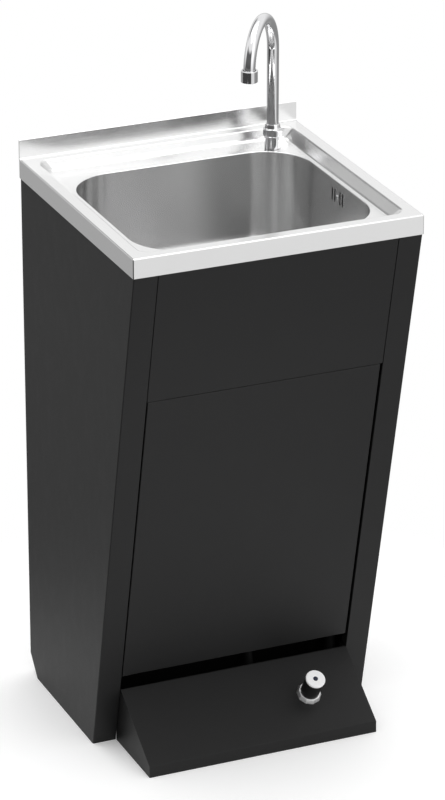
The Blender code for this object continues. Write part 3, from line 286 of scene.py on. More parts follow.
MAT = {
    "rim": steel("rim_steel", (0.82, 0.82, 0.82), 0.22, (0.02, 1, 1), 500.0, grain=0.015, mottle=0.022),
    "bowl": steel("bowl_steel", (0.615, 0.615, 0.615), 0.27, (1, 1, 0.02), 420.0, anis=0.75, rotation=0.25, grain=0.001, mottle=0.004, spread=0.08),
    "ring": steel("ring_cast_chrome", (1.0, 1.0, 1.0), 0.52, (1, 1, 1), 300.0, grain=0.05, mottle=0.08),
    "chrome": chrome("chrome_plate"),
    "black": powder("black_powder_coat", (0.0205, 0.0205, 0.0208)),
    # painted shade: a near-black copy of the black coat for the base tray, in place of the shade inside the cabinet
    "painted_deep_shade": powder("black_coat_unlit", (0.0035, 0.0035, 0.0035), rough=0.8, spec=0.05, wear_and_sheen=0.0),
    # painted shade: a darker copy of the black coat for parts inside the cabinet, in place of the shade that falls
    # there
    "inside": powder("black_powder_coat_painted_interior_shade", (0.0105, 0.0105, 0.0105), rough=0.55, spec=0.2, wear_and_sheen=0.1),
    "zinc": zinc("zinc_plate"),
    "black_plastic": plastic("black_plastic", (0.012, 0.012, 0.012), 0.38, 0.45, vary=0.15),
    "white_plastic": plastic("white_plastic", (0.98, 0.98, 0.98), 0.30, 0.7, vary=0.01),
    "blue_plastic": plastic("blue_plastic", (0.007, 0.012, 0.034), 0.33, 0.35),
    "natural": plastic("natural_polyethylene", (0.78, 0.79, 0.75), 0.38, 0.5, texture=0.10, scale=260.0, vary=0.04, subsurface=0.5),
    "grey_tank": plastic("grey_polyethylene", (0.11, 0.115, 0.12), 0.42, 0.45, texture=0.12, scale=260.0),
    "rubber": plastic("black_rubber", (0.018, 0.018, 0.018), 0.68, 0.3, texture=0.12, scale=900.0, vary=0.2),
    "black_hose": plastic("black_rubber_hose", (0.006, 0.006, 0.006), 0.60, 0.12, texture=0.10, scale=420.0, vary=0.15),
    "grey_hose": plastic("grey_pvc_hose", (0.20, 0.205, 0.21), 0.40, 0.45, texture=0.08, scale=300.0),
}
SLOT_MAT = {"stainless": "rim", "chrome": "chrome", "black_coat": "black", "zinc": "zinc", "black_plastic": "black_plastic",
            "white_plastic": "white_plastic", "blue_plastic": "blue_plastic", "natural_tank": "natural", "grey_tank": "grey_tank",
            "rubber": "rubber", "black_hose": "black_hose", "grey_hose": "grey_hose"}


# ---------------------------------------------------------------- mesh helpers
def soften(pts, r, seg=3, closed=True):
    """Rounds every corner of a 2-D outline to radius r, less where its sides are short."""
    out = []
    n = len(pts)
    for i, p in enumerate(pts):
        if not closed and i in (0, n - 1):
            out.append(tuple(p))
            continue
        a, b, c = Vector(pts[i - 1]), Vector(p), Vector(pts[(i + 1) % n])
        u, v = a - b, c - b
        lu, lv = u.length, v.length
        if lu < 1e-9 or lv < 1e-9:
            continue
        u, v = u / lu, v / lv
        k = max(-1.0, min(1.0, u.dot(v)))
        if k < -0.985 or k > 0.999:
            out.append(tuple(p))
            continue
        half = math.acos(k) / 2
        t = min(r / math.tan(half), lu * 0.45, lv * 0.45)
        centre = b + (u + v).normalized() * (t / cos(half))
        a0, a1 = b + u * t - centre, b + v * t - centre
        ang = math.acos(max(-1.0, min(1.0, a0.normalized().dot(a1.normalized()))))
        for j in range(seg + 1):
            s = j / seg
            q = centre + (a0 * sin((1 - s) * ang) + a1 * sin(s * ang)) / sin(ang)
            out.append((q.x, q.y))
    return out


def finish_mesh(ob, mat, body, replaces=(), smooth=32, weighted=True):
    me = ob.data
    me.materials.clear()
    me.materials.append(MAT[mat])
    me.shade_smooth()
    me.set_sharp_from_angle(angle=radians(smooth))
    if weighted:
        w = ob.modifiers.new("weighted", "WEIGHTED_NORMAL")
        w.keep_sharp = True
    if replaces:
        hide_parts(*replaces)
    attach(ob, body)
    return ob


def raw(name, pts, faces):
    me = bpy.data.meshes.new(name)
    bm = bmesh.new()
    vs = [bm.verts.new(p) for p in pts]
    for f in faces:
        bm.faces.new([vs[i] for i in f])
    bmesh.ops.recalc_face_normals(bm, faces=bm.faces)
    bm.to_mesh(me)
    bm.free()
    ob = bpy.data.objects.new(name, me)
    scene.collection.objects.link(ob)
    return ob


def loft_data(rings, loop=False, caps=True):
    n, m = len(rings[0]), len(rings)
    pts = [tuple(p) for ring in rings for p in ring]
    faces = []
    for i in range(m if loop else m - 1):
        a, b = i * n, ((i + 1) % m) * n
        for j in range(n):
            k = (j + 1) % n
            faces.append((a + j, a + k, b + k, b + j))
    if not loop and caps:
        faces.append(tuple(range(n))[::-1])
        faces.append(tuple((m - 1) * n + j for j in range(n)))
    return pts, faces


def loft(name, rings, mat, body, replaces=(), loop=False, smooth=32):
    pts, faces = loft_data(rings, loop)
    return finish_mesh(raw(name, pts, faces), mat, body, replaces, smooth)


def round_rect(x0, x1, y0, y1, r, z, per=14):
    r = max(r, 0.02 * MM)
    ring = []
    for cx, cy, a0 in ((x1 - r, y1 - r, 0), (x0 + r, y1 - r, 90), (x0 + r, y0 + r, 180), (x1 - r, y0 + r, 270)):
        for i in range(per + 1):
            a = radians(a0 + 90 * i / per)
            ring.append((cx + r * cos(a), cy + r * sin(a), z))
    return ring


def circle(cx, cy, r, z, n, start=0.0):
    return [(cx + r * cos(start + 2 * pi * i / n), cy + r * sin(start + 2 * pi * i / n), z) for i in range(n)]


def placed(pts, origin, axis):
    """Points of a piece made about +Z, put at origin with its Z along axis; X stays level."""
    z = Vector(axis).normalized()
    x = Vector((1, 0, 0)) if abs(z.x) < 0.9 else Vector((0, 1, 0))
    x = (x - z * x.dot(z)).normalized()
    y = z.cross(x)
    o = Vector(origin)
    return [tuple(o + x * p[0] + y * p[1] + z * p[2]) for p in pts]


def lathe_rings(profile, n, shape=None):
    rings = []
    for r, z in profile:
        ring = []
        for i in range(n):
            a = 2 * pi * i / n
            k = shape(r, z, a) if shape else r
            ring.append((k * cos(a), k * sin(a), z))
        rings.append(ring)
    return rings


def lathe(name, profile, n, mat, body, replaces=(), origin=(0, 0, 0), axis=(0, 0, 1), closed=True, soft=0.4 * MM, seg=3, smooth=32, shape=None, raw_only=False):
    prof = soften(profile, soft, seg, closed) if soft else profile
    pts, faces = loft_data(lathe_rings(prof, n, shape), loop=closed)
    ob = raw(name, placed(pts, origin, axis), faces)
    return ob if raw_only else finish_mesh(ob, mat, body, replaces, smooth)


def smooth_path(knots, step):
    k = [Vector(p) for p in knots]
    k = [k[0] * 2 - k[1]] + k + [k[-1] * 2 - k[-2]]
    out = []
    for i in range(1, len(k) - 2):
        p0, p1, p2, p3 = k[i - 1:i + 3]
        t0 = 0.0
        t1 = t0 + sqrt((p1 - p0).length)
        t2 = t1 + sqrt((p2 - p1).length)
        t3 = t2 + sqrt((p3 - p2).length)
        count = max(2, int((p2 - p1).length / step))
        for j in range(count):
            t = t1 + (t2 - t1) * j / count
            a1 = p0 * ((t1 - t) / (t1 - t0)) + p1 * ((t - t0) / (t1 - t0))
            a2 = p1 * ((t2 - t) / (t2 - t1)) + p2 * ((t - t1) / (t2 - t1))
            a3 = p2 * ((t3 - t) / (t3 - t2)) + p3 * ((t - t2) / (t3 - t2))
            b1 = a1 * ((t2 - t) / (t2 - t0)) + a2 * ((t - t0) / (t2 - t0))
            b2 = a2 * ((t3 - t) / (t3 - t1)) + a3 * ((t - t1) / (t3 - t1))
            out.append(b1 * ((t2 - t) / (t2 - t1)) + b2 * ((t - t1) / (t2 - t1)))
    out.append(k[-2])
    return out


def tube(name, path, r_out, r_in, n, mat, body, replaces=(), wave=None):
    """A swept pipe; wave(distance) swells its outside, as on a ribbed hose."""
    path = [Vector(p) for p in path]
    tan = [(path[min(i + 1, len(path) - 1)] - path[max(i - 1, 0)]).normalized() for i in range(len(path))]
    side = tan[0].orthogonal().normalized()
    frames = []
    dist = [0.0]
    for i, t in enumerate(tan):
        if i:
            side = tan[i - 1].rotation_difference(t) @ side
            side = (side - t * side.dot(t)).normalized()
            dist.append(dist[-1] + (path[i] - path[i - 1]).length)
        frames.append((side.copy(), t.cross(side)))

    def ring(i, r):
        u, v = frames[i]
        return [tuple(path[i] + u * (r * cos(2 * pi * j / n)) + v * (r * sin(2 * pi * j / n))) for j in range(n)]

    out = [ring(i, r_out + (wave(dist[i]) if wave else 0.0)) for i in range(len(path))]
    if r_in > 0:
        pts, faces = loft_data(out + [ring(i, r_in) for i in reversed(range(len(path)))], loop=True)
    else:
        pts, faces = loft_data(out)
    return finish_mesh(raw(name, pts, faces), mat, body, replaces, 50, weighted=False)


def applied(ob):
    """Bakes the object's modifiers into its mesh."""
    dg = bpy.context.evaluated_depsgraph_get()
    dg.update()
    me = bpy.data.meshes.new_from_object(ob.evaluated_get(dg))
    ob.modifiers.clear()
    old = ob.data
    ob.data = me
    bpy.data.meshes.remove(old)
    return ob


def cut(ob, tools, operation="DIFFERENCE"):
    """Boolean with each tool in turn, then the tools go."""
    for t in tools:
        m = ob.modifiers.new("cut", "BOOLEAN")
        m.operation = operation
        m.solver = "EXACT"
        m.object = t
    applied(ob)
    for t in tools:
        me = t.data
        bpy.data.objects.remove(t)
        bpy.data.meshes.remove(me)
    return ob


def skin(node, name, mat, bevel=0.5 * MM, seg=2, smooth=32):
    """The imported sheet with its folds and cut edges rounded."""
    bm = bmesh.new()
    bm.from_mesh(NODES[node].data)
    bmesh.ops.remove_doubles(bm, verts=bm.verts, dist=2e-6)
    bmesh.ops.dissolve_limit(bm, angle_limit=radians(0.6), verts=bm.verts, edges=bm.edges)
    me = bpy.data.meshes.new(name)
    bm.to_mesh(me)
    bm.free()
    for attr in ("custom_normal", "sharp_face", "sharp_edge"):
        if attr in me.attributes:
            me.attributes.remove(me.attributes[attr])
    ob = bpy.data.objects.new(name, me)
    scene.collection.objects.link(ob)
    b = ob.modifiers.new("folds", "BEVEL")
    b.width = bevel
    b.segments = seg
    b.limit_method = "ANGLE"
    b.angle_limit = radians(28)
    b.harden_normals = False
    applied(ob)
    body = next(n["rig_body"] for n in (NODES[node],))
    return finish_mesh(ob, mat, body, (node,), smooth)


# ---------------------------------------------------------------- places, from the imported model
def mid(node):
    lo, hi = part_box(node)
    return (lo + hi) / 2


lo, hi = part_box("basin_deck")
HX, Y0, Y1 = hi.x, lo.y, hi.y
SPLASH_Z = hi.z
RIM_Z = SPLASH_Z - 30 * MM
SKIRT_Z = lo.z
DECK_Z = RIM_Z - 15 * MM
DRAIN_Y = mid("drain_flange").y
FLOOR_Z = DECK_Z - 150 * MM
TAP = mid("tap_base")
TAP.z = DECK_Z
BOWL_HX, BOWL_Y0, BOWL_Y1, BOWL_R = 185 * MM, -185 * MM, 154.5 * MM, 75 * MM
PER = 16
FOOT_BODY, DOOR_BODY, SPOUT_BODY, CAB = "foot_button", "door", "swivel_spout", "cabinet"

# ---------------------------------------------------------------- basin top
def deck_ring(inset, r, z, side=None):
    """inset is the back's; side is the sides' and the front's."""
    side = inset if side is None else side
    return round_rect(-HX + side, HX - side, Y0 + side, Y1 - inset, r, z, PER)


def bowl_ring(grow, z):
    return round_rect(-BOWL_HX - grow, BOWL_HX + grow, BOWL_Y0 - grow, BOWL_Y1 + grow, BOWL_R + grow, z, PER)


F, G = 21 * MM, 25 * MM
outer = [deck_ring(0.4 * MM, 1.4 * MM, SKIRT_Z), deck_ring(0.1 * MM, 1.5 * MM, SKIRT_Z + 0.15 * MM), deck_ring(0, 1.6 * MM, SKIRT_Z + 0.5 * MM)]
B = 2.0 * MM
for i in range(7):
    a = radians(15 * i)
    outer.append(deck_ring(B * (1 - cos(a)), 1.6 * MM - 0.5 * MM * (1 - cos(a)), RIM_Z - B * (1 - sin(a))))
R1 = 2.4 * MM
for i in range(7):
    a = radians(13 * i)
    ins = F - R1 + R1 * sin(a)
    drop = R1 * (1 - cos(a))
    side = F - 3.9 * MM + 5.8 * MM * sin(math.acos(1 - drop / (5.8 * MM)))
    outer.append(deck_ring(ins, 18 * MM + (F - ins), RIM_Z - drop, side))
R2 = 3.6 * MM
W = F + 12 * MM                                   # foot of the sloping step at the sides and the front
for i in range(8):
    a = radians(77 - 11 * i)
    ins = G + 1.8 * MM - R2 * sin(a)
    up = R2 * (1 - cos(a))
    bend = min(up, 1.655 * MM)
    side = W + 1.8 * MM - 5.0 * MM * sin(math.acos(1 - bend / (5.0 * MM))) - (up - bend) * 0.9
    outer.append(deck_ring(ins, 18 * MM - (ins - F) * 0.9, DECK_Z + up, side))
LIP = 1.4 * MM
for i in range(8):
    a = radians(90 * i / 7)
    outer.append(bowl_ring(LIP * (1 - sin(a)), DECK_Z - LIP * (1 - cos(a))))
S = 1.0 * MM
inner = [bowl_ring(S, DECK_Z - LIP), bowl_ring(LIP + 0.4 * MM, DECK_Z - S), deck_ring(G + 1.8 * MM, 13 * MM, DECK_Z - S, W + 1.8 * MM), deck_ring(G - S, 15 * MM, DECK_Z + 1.2 * MM, W - 2.8 * MM),
         deck_ring(F + 0.2 * MM - S, 18.8 * MM, RIM_Z - 3.0 * MM), deck_ring(F - 2.4 * MM, 20.4 * MM, RIM_Z - S), deck_ring(B, 1.0 * MM, RIM_Z - S), deck_ring(S, 0.6 * MM, RIM_Z - B),
         deck_ring(S, 0.6 * MM, SKIRT_Z)]
pts, faces = loft_data(outer + inner, loop=True)
top = raw("basin_top", pts, faces)

FY = Y1 - 2.4 * MM                                # front face of the upstand
prof = [(FY - 4 * MM, RIM_Z - 0.7 * MM), (FY - 2.2 * MM, RIM_Z + 0.02 * MM)]
for i in range(1, 6):
    a = radians(90 * i / 5)
    prof.append((FY - 2.2 * MM + 2.2 * MM * sin(a), RIM_Z + 2.2 * MM * (1 - cos(a))))
for i in range(9):
    a = radians(180 - 180 * i / 8)
    prof.append((Y1 - 1.2 * MM + 1.2 * MM * cos(a), SPLASH_Z - 1.2 * MM + 1.2 * MM * sin(a)))
prof += [(Y1, RIM_Z - 2.4 * MM), (FY - 4 * MM, RIM_Z - 2.4 * MM)]
xs = [-HX, -HX + 0.15 * MM, HX - 0.15 * MM, HX]
rings = []
for i, x in enumerate(xs):
    shrink = 0.15 * MM if i in (0, 3) else 0.0
    cy, cz = Y1 - 1.2 * MM, SPLASH_Z - 15 * MM
    rings.append([(x, y - (shrink if y > cy else -shrink), z - (shrink if z > cz else 0)) for y, z in prof])
pts, faces = loft_data(rings)
stand = raw("upstand", pts, faces)
cut(top, [stand], "UNION")
square = lambda x: [(x, FY - 2.7 * MM, RIM_Z - 0.35 * MM), (x, FY - 2.0 * MM, RIM_Z - 0.35 * MM), (x, FY - 2.0 * MM, RIM_Z + 0.5 * MM), (x, FY - 2.7 * MM, RIM_Z + 0.5 * MM)]
pts, faces = loft_data([square(-HX - 1 * MM), square(HX + 1 * MM)])
cut(top, [raw("fold_line_tool", pts, faces)])
hole = lathe("tap_hole", [(8.6 * MM, -10 * MM), (8.6 * MM, 10 * MM)], 48, None, None, origin=(TAP.x, TAP.y, DECK_Z), closed=False, soft=0, raw_only=True)
cut(top, [hole])
finish_mesh(top, "rim", CAB, ("basin_deck",), 34)

# ---------------------------------------------------------------- bowl
DRAFT, FIL = 1.5 * MM, 25 * MM
z_top = DECK_Z - LIP + 0.15 * MM


def bowl_skin(off):
    """Rings down the wall, round the fillet and in to the drain; off is outwards."""
    rings = [bowl_ring(0.02 * MM + off, z_top)]
    for k in (0.25, 0.5, 0.75):
        rings.append(bowl_ring(-DRAFT * k + off, z_top + (FLOOR_Z + 2 * MM + FIL - z_top) * k))
    zf = FLOOR_Z + 2 * MM + FIL
    for i in range(10):
        a = radians(90 * i / 9)
        rings.append(bowl_ring(-(DRAFT + FIL * (1 - cos(a))) + off * cos(a), zf - FIL * sin(a) - off * sin(a)))
    last = rings[-1]
    n = len(last)
    drain = []
    for j in range(n):
        q, r = divmod(j, PER + 1)
        a = radians(90 * (q + r / (PER + 1)))
        drain.append((cos(a), sin(a)))
    for k, rr in ((0.35, None), (0.7, None), (0.9, None)):
        ring = []
        for j in range(n):
            ex, ey = 37 * MM * drain[j][0], DRAIN_Y + 37 * MM * drain[j][1]
            x, y, z = last[j]
            e = 1 - (1 - k) ** 1.2
            ring.append((x + (ex - x) * e, y + (ey - y) * e, z + (FLOOR_Z - off - z) * e))
        rings.append(ring)
    for r in (37, 36.4, 22.3):
        rings.append([(r * MM * c, DRAIN_Y + r * MM * s_, FLOOR_Z - off) for c, s_ in drain])
    return rings


pts, faces = loft_data(bowl_skin(0.0) + bowl_skin(0.6 * MM)[::-1], loop=True)
bowl = raw("bowl", pts, faces)
OV = mid("overflow_screw")
OV.x = BOWL_HX
tools = []
for i, dy in enumerate((-17.8, -8.9, 8.9, 17.8)):
    w, h = 1.75 * MM, 20.5 * MM / 2 - 1.5 * MM
    outline = [(w * cos(radians(15 * k)), w * sin(radians(15 * k)) + h) for k in range(13)] + [(-w * cos(radians(15 * k)), -w * sin(radians(15 * k)) - h) for k in range(13)]
    rings = [[(OV.x + x, OV.y + dy * MM + y, OV.z + z) for y, z in outline] for x in (-8 * MM, 8 * MM)]
    pts, faces = loft_data(rings)
    tools.append(raw("slot_tool_%d" % i, pts, faces))
tools.append(lathe("screw_tool", [(2.3 * MM, -8 * MM), (2.3 * MM, 8 * MM)], 24, None, None, origin=tuple(OV), axis=(1, 0, 0), closed=False, soft=0, raw_only=True))
cut(bowl, tools)
finish_mesh(bowl, "bowl", CAB, ("basin_bowl",), 34)


# ---------------------------------------------------------------- screws with a cross recess
def screw(name, node, head, seat, axis, r_head, h_head, r_shank, length, mat):
    """Pan head at seat, pointing along axis, shank going the other way."""
    prof = [(r_shank, -length), (r_shank, 0), (r_head, 0), (r_head * 0.97, h_head * 0.45), (r_head * 0.72, h_head * 0.86), (r_head * 0.3, h_head), (0.05 * MM, h_head)]
    ob = lathe(name, prof, 32, mat, None, origin=seat, axis=axis, closed=False, soft=0.25 * MM, raw_only=True)
    a, b = r_head * 0.56, r_head * 0.13
    crosses = []
    for u, v in ((a, b), (b, a)):
        ring = lambda z, s: [(-u * s, -v * s, z), (u * s, -v * s, z), (u * s, v * s, z), (-u * s, v * s, z)]
        pts, faces = loft_data([ring(h_head * 0.25, 0.7), ring(h_head * 1.3, 1.05)])
        crosses.append(raw("cross_tool", placed(pts, seat, axis), faces))
    cut(ob, crosses)
    return finish_mesh(ob, mat, CAB, (node,), 32)


for i in range(1, 5):
    c = mid("back_screw_%d" % i)
    hi_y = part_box("back_screw_%d" % i)[1].y
    screw("back_screw_head_%d" % i, "back_screw_%d" % i, None, (c.x, hi_y - 1.15 * MM, c.z), (0, 1, 0), 4.0 * MM, 1.1 * MM, 2.0 * MM, 6.5 * MM, "zinc")
lo_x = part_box("overflow_screw")[0].x
screw("overflow_screw_head", "overflow_screw", None, (lo_x + 1.7 * MM, OV.y, OV.z), (-1, 0, 0), 3.4 * MM, 1.6 * MM, 2.0 * MM, 9.0 * MM, "chrome")

# ---------------------------------------------------------------- sheet-metal cabinet
for node, name, mat in (("side_panel_left", "side_left", "black"), ("side_panel_right", "side_right", "black"), ("back_panel", "back_sheet", "black"),
                        ("fascia_panel", "fascia", "black"), ("front_door", "door_pan", "black"), ("foot_box", "foot_box_sheet", "black"),
                        ("front_rail", "rail", "inside"), ("base_tray", "tray", "painted_deep_shade")):
    skin(node, name, mat, 0.28 * MM if node in ("front_door", "fascia_panel") else 0.5 * MM)
for node, name, mat in (("hinge_pivot_top", "pivot_top", "zinc"), ("hinge_pivot_bottom", "pivot_bottom", "inside"), ("door_catch", "catch_body", "black_plastic")):
    skin(node, name, mat, 0.4 * MM, 2)

# ---------------------------------------------------------------- tap
zd = DECK_Z
G3 = 0.3 * MM
TX, TY = TAP.x, TAP.y
lathe("tap_base_turned", [(12.3 * MM, zd + G3), (12.3 * MM, zd + 19.5 * MM), (9.3 * MM, zd + 19.5 * MM), (9.3 * MM, zd + 4 * MM), (4.2 * MM, zd + 4 * MM), (4.2 * MM, zd - 46 * MM),
                          (5.6 * MM, zd - 46 * MM), (6.2 * MM, zd - 45.4 * MM), (6.2 * MM, zd - 32 * MM), (8 * MM, zd - 30 * MM), (8 * MM, zd + G3)],
      72, "chrome", CAB, ("tap_base",), (TX, TY, 0), soft=0.35 * MM)
k0 = zd + 19.8 * MM


def collar_shape(r, z, a):
    h = z - k0
    flat = 13.3 * MM
    off = (a + pi / 6) % (pi / 3) - pi / 6
    if h < 0.8 * MM or h > 12.2 * MM or r < 12 * MM:
        return r
    return min(r, flat / cos(off))


prof = [(9.3 * MM, k0), (12.7 * MM, k0)]
for i in range(6):
    a = radians(18 * i)
    prof.append((12.9 * MM + 1.6 * MM * sin(a), k0 + 1.6 * MM * (1 - cos(a)) + 0.1 * MM))
for h in (3, 4.5, 6, 7.5, 9):
    prof.append((14.5 * MM, k0 + h * MM))
for i in range(7):
    a = radians(15 * i)
    prof.append((12.9 * MM + 1.6 * MM * cos(a), k0 + 10.3 * MM + 1.9 * MM * sin(a)))
prof += [(12.2 * MM, k0 + 12.6 * MM), (11.7 * MM, k0 + 13.4 * MM), (11.3 * MM, k0 + 15.5 * MM), (10.8 * MM, k0 + 17.6 * MM), (10.4 * MM, k0 + 18.9 * MM), (9.9 * MM, k0 + 19.4 * MM), (9.3 * MM, k0 + 19.4 * MM)]
lathe("tap_collar_turned", prof, 96, "chrome", CAB, ("tap_collar",), (TX, TY, 0), soft=0, shape=collar_shape, smooth=28)

AIM = math.atan2(mid("aerator_body").y - TY, mid("aerator_body").x - TX)
REACH = sqrt((mid("aerator_body").y - TY) ** 2 + (mid("aerator_body").x - TX) ** 2)
dirv = Vector((cos(AIM), sin(AIM), 0))
AR = REACH / 2
ARCH_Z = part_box("spout")[1].z - AR - 9 * MM
at = Vector((TX, TY, 0))
spine = [at + Vector((0, 0, zd + 6 * MM)), at + Vector((0, 0, zd + 40 * MM)), at + Vector((0, 0, ARCH_Z - 60 * MM)), at + Vector((0, 0, ARCH_Z - 20 * MM))]
for i in range(61):
    a = pi * i / 60
    spine.append(at + dirv * (AR * (1 - cos(a))) + Vector((0, 0, ARCH_Z + AR * sin(a))))
az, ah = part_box("aerator_body")[0].z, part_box("aerator_body")[1].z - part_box("aerator_body")[0].z
if ARCH_Z - az > 10.5 * MM:
    spine.append(at + dirv * REACH + Vector((0, 0, az + 10 * MM)))
tube("spout_tube", spine, 9 * MM, 7.6 * MM, 48, "chrome", SPOUT_BODY, ("spout",))
TIP = at + dirv * REACH
lathe("aerator_shell", [(12.5 * MM, az), (12.5 * MM, az + ah - 1.0 * MM), (11.8 * MM, az + ah), (10.0 * MM, az + ah), (10.0 * MM, az + 9 * MM), (11.1 * MM, az + 9 * MM), (11.1 * MM, az)],
      72, "chrome", SPOUT_BODY, ("aerator_body",), tuple(TIP), soft=0.5 * MM)
lathe("aerator_core", [(10.8 * MM, az + 0.8 * MM), (10.8 * MM, az + 8.6 * MM), (7.4 * MM, az + 8.6 * MM), (7.4 * MM, az + 3 * MM), (6.6 * MM, az + 3 * MM), (6.6 * MM, az + 0.8 * MM)],
      48, "white_plastic", SPOUT_BODY, ("aerator_insert",), tuple(TIP), soft=0.25 * MM)
mesh_plate = lathe("aerator_mesh", [(7.2 * MM, az + 3.3 * MM), (7.2 * MM, az + 4.2 * MM), (0.02 * MM, az + 4.2 * MM), (0.02 * MM, az + 3.3 * MM)], 48, "zinc", None, origin=tuple(TIP), soft=0, raw_only=True)
pins = []
for ix in range(-3, 4):
    for iy in range(-3, 4):
        px, py = ix * 1.9 * MM + (0.95 * MM if iy % 2 else 0), iy * 1.65 * MM
        if sqrt(px * px + py * py) < 6.1 * MM:
            pins.append(lathe("pin_tool", [(0.6 * MM, az + 2.5 * MM), (0.6 * MM, az + 5 * MM)], 10, None, None, origin=(TIP.x + px, TIP.y + py, 0), closed=False, soft=0, raw_only=True))
cut(mesh_plate, pins)
finish_mesh(mesh_plate, "zinc", SPOUT_BODY, ("aerator_screen",), 30)

uz = DECK_Z - S - G3
lathe("tap_washer", [(12.8 * MM, uz), (12.8 * MM, uz - 2 * MM), (8.3 * MM, uz - 2 * MM), (8.3 * MM, uz)], 48, "rubber", CAB, ("tap_gasket",), (TX, TY, 0), soft=0.4 * MM)
nz = uz - 2 * MM - G3


def nut_shape(r, z, a):
    off = (a + pi / 6) % (pi / 3) - pi / 6
    return r if r < 10 * MM else min(r, 11.6 * MM / cos(off))


lathe("tap_backnut", [(8.3 * MM, nz), (11.9 * MM, nz), (13.2 * MM, nz - 1.0 * MM), (13.2 * MM, nz - 8.0 * MM), (11.9 * MM, nz - 9 * MM), (8.3 * MM, nz - 9 * MM)], 72, "zinc", CAB, ("tap_locknut",), (TX, TY, 0), soft=0.2 * MM, shape=nut_shape, smooth=25)

# ---------------------------------------------------------------- foot pump
joint = {j["name"]: j for j in frame["joints"]}
AXIS = -Vector(joint["button_press"]["axis"]).normalized()      # out of the slope
cap_mid = mid("button_marker")
BUTTON_OUT = 45 * MM
MIDP = cap_mid - AXIS * (BUTTON_OUT - 0.05 * MM)
MIDP.x = cap_mid.x
RING_R, RING_H, SLEEVE_R, CAP_R, CAP_H = 19.3 * MM, 8 * MM, 14.6 * MM, 15.2 * MM, 4 * MM


def facets(r, z, a):
    if r < SLEEVE_R + 1.2 * MM:
        return r
    off = (a + pi / 10) % (pi / 5) - pi / 10
    lean = max(0.0, z - 1.2 * MM) * 0.40
    flat = (RING_R - lean) * cos(pi / 10) / cos(off) + 0.15 * MM
    cone = RING_R - 3.3 * MM + (RING_H - z) * 0.75
    return min(r - lean * 0.8, flat, cone)


prof = [(SLEEVE_R + 0.6 * MM, G3), (RING_R, G3)]
prof += [(RING_R, G3 + k * 0.75 * MM) for k in range(1, 10)]
prof += [(RING_R, RING_H - 0.5 * MM), (SLEEVE_R + 1.35 * MM, RING_H), (SLEEVE_R + 1.0 * MM, RING_H), (SLEEVE_R + 0.6 * MM, RING_H - 0.4 * MM)]
lathe("pump_ring", prof, 200, "ring", CAB, ("pump_lock_ring",), tuple(MIDP), tuple(AXIS), soft=0, shape=facets, smooth=22)
c = BUTTON_OUT
lathe("button_top", [(CAP_R - 0.4 * MM, c - CAP_H + G3), (CAP_R, c - CAP_H + 0.8 * MM), (CAP_R, c), (3.9 * MM, c - 0.1 * MM), (3.9 * MM, c - 0.8 * MM), (0.5 * MM, c - 0.8 * MM), (0.5 * MM, c - CAP_H + G3)],
      96, "white_plastic", FOOT_BODY, ("button_cap",), tuple(MIDP), tuple(AXIS), soft=1.8 * MM, seg=5)
lathe("button_barrel", [(SLEEVE_R, -12 * MM), (SLEEVE_R, c - CAP_H), (SLEEVE_R - 2.4 * MM, c - CAP_H), (SLEEVE_R - 2.4 * MM, -12 * MM)],
      96, "black_plastic", FOOT_BODY, ("button_sleeve",), tuple(MIDP), tuple(AXIS), soft=0.4 * MM)
lathe("button_dot", [(3.6 * MM, c - 0.5 * MM), (3.6 * MM, c + 0.1 * MM), (2.6 * MM, c + 0.3 * MM), (0.05 * MM, c + 0.4 * MM)],
      48, "blue_plastic", FOOT_BODY, ("button_marker",), tuple(MIDP), tuple(AXIS), closed=False, soft=0.2 * MM)
lathe("plunger_turned", [(14.4 * MM, -12.3 * MM), (14.4 * MM, -17 * MM), (4.0 * MM, -17 * MM), (4.0 * MM, -26 * MM), (0.8 * MM, -26 * MM), (0.8 * MM, -12.3 * MM)],
      64, "zinc", FOOT_BODY, ("pump_plunger",), tuple(MIDP), tuple(AXIS), soft=0.3 * MM)
u = -1.8 * MM
BR, BL = 20 * MM, 46 * MM
prof = [(18.5 * MM, u), (BR, u - 1.5 * MM)]
for k in range(4):
    prof += [(BR, u - (2.2 + 2.0 * k) * MM), (BR - 0.5 * MM, u - (2.7 + 2.0 * k) * MM), (BR - 0.5 * MM, u - (3.2 + 2.0 * k) * MM), (BR, u - (3.7 + 2.0 * k) * MM)]
prof += [(BR - 1.5 * MM, u - 11 * MM), (BR - 1.5 * MM, -BL + 2 * MM), (BR - 3.5 * MM, -BL), (3 * MM, -BL), (3 * MM, -BL + 3 * MM), (SLEEVE_R + 0.6 * MM, -BL + 3 * MM), (SLEEVE_R + 0.6 * MM, u)]
lathe("pump_body", prof, 64, "black_plastic", CAB, ("pump_barrel",), tuple(MIDP), tuple(AXIS), soft=0.25 * MM)

SP_R, WIRE, TURNS = 8.6 * MM, 1.0 * MM, 4.5
z_lo, z_hi = -BL + 3 * MM + G3 + WIRE, -17 * MM - G3 - WIRE
coil = []
for i in range(int(TURNS * 28) + 1):
    k = i / int(TURNS * 28)
    flat = 0.75 / TURNS
    h = min(max((k - flat) / (1 - 2 * flat), 0.0), 1.0)
    coil.append((SP_R * cos(2 * pi * TURNS * k), SP_R * sin(2 * pi * TURNS * k), z_lo + (z_hi - z_lo) * (0.08 * k + 0.92 * h)))
spring = tube("return_spring", placed(coil, MIDP, AXIS), WIRE, 0, 12, "zinc", CAB, ("pump_spring",))
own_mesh(spring)

barb = [(6.0 * MM, 0), (6.0 * MM, 4 * MM), (4.2 * MM, 4 * MM), (4.6 * MM, 7 * MM), (3.9 * MM, 7.4 * MM), (4.6 * MM, 11 * MM), (3.9 * MM, 11.4 * MM), (4.4 * MM, 16 * MM), (2.6 * MM, 16 * MM), (2.6 * MM, 0)]
PORT = Vector(MIDP) + AXIS * (-30 * MM)
for node, name, sgn in (("pump_inlet", "inlet_tail", -1), ("pump_outlet", "outlet_tail", 1)):
    lathe(name, barb, 40, "zinc", CAB, (node,), tuple(PORT + Vector((sgn * 18.8 * MM, 0, 0))), (sgn, 0, 0), soft=0.25 * MM)

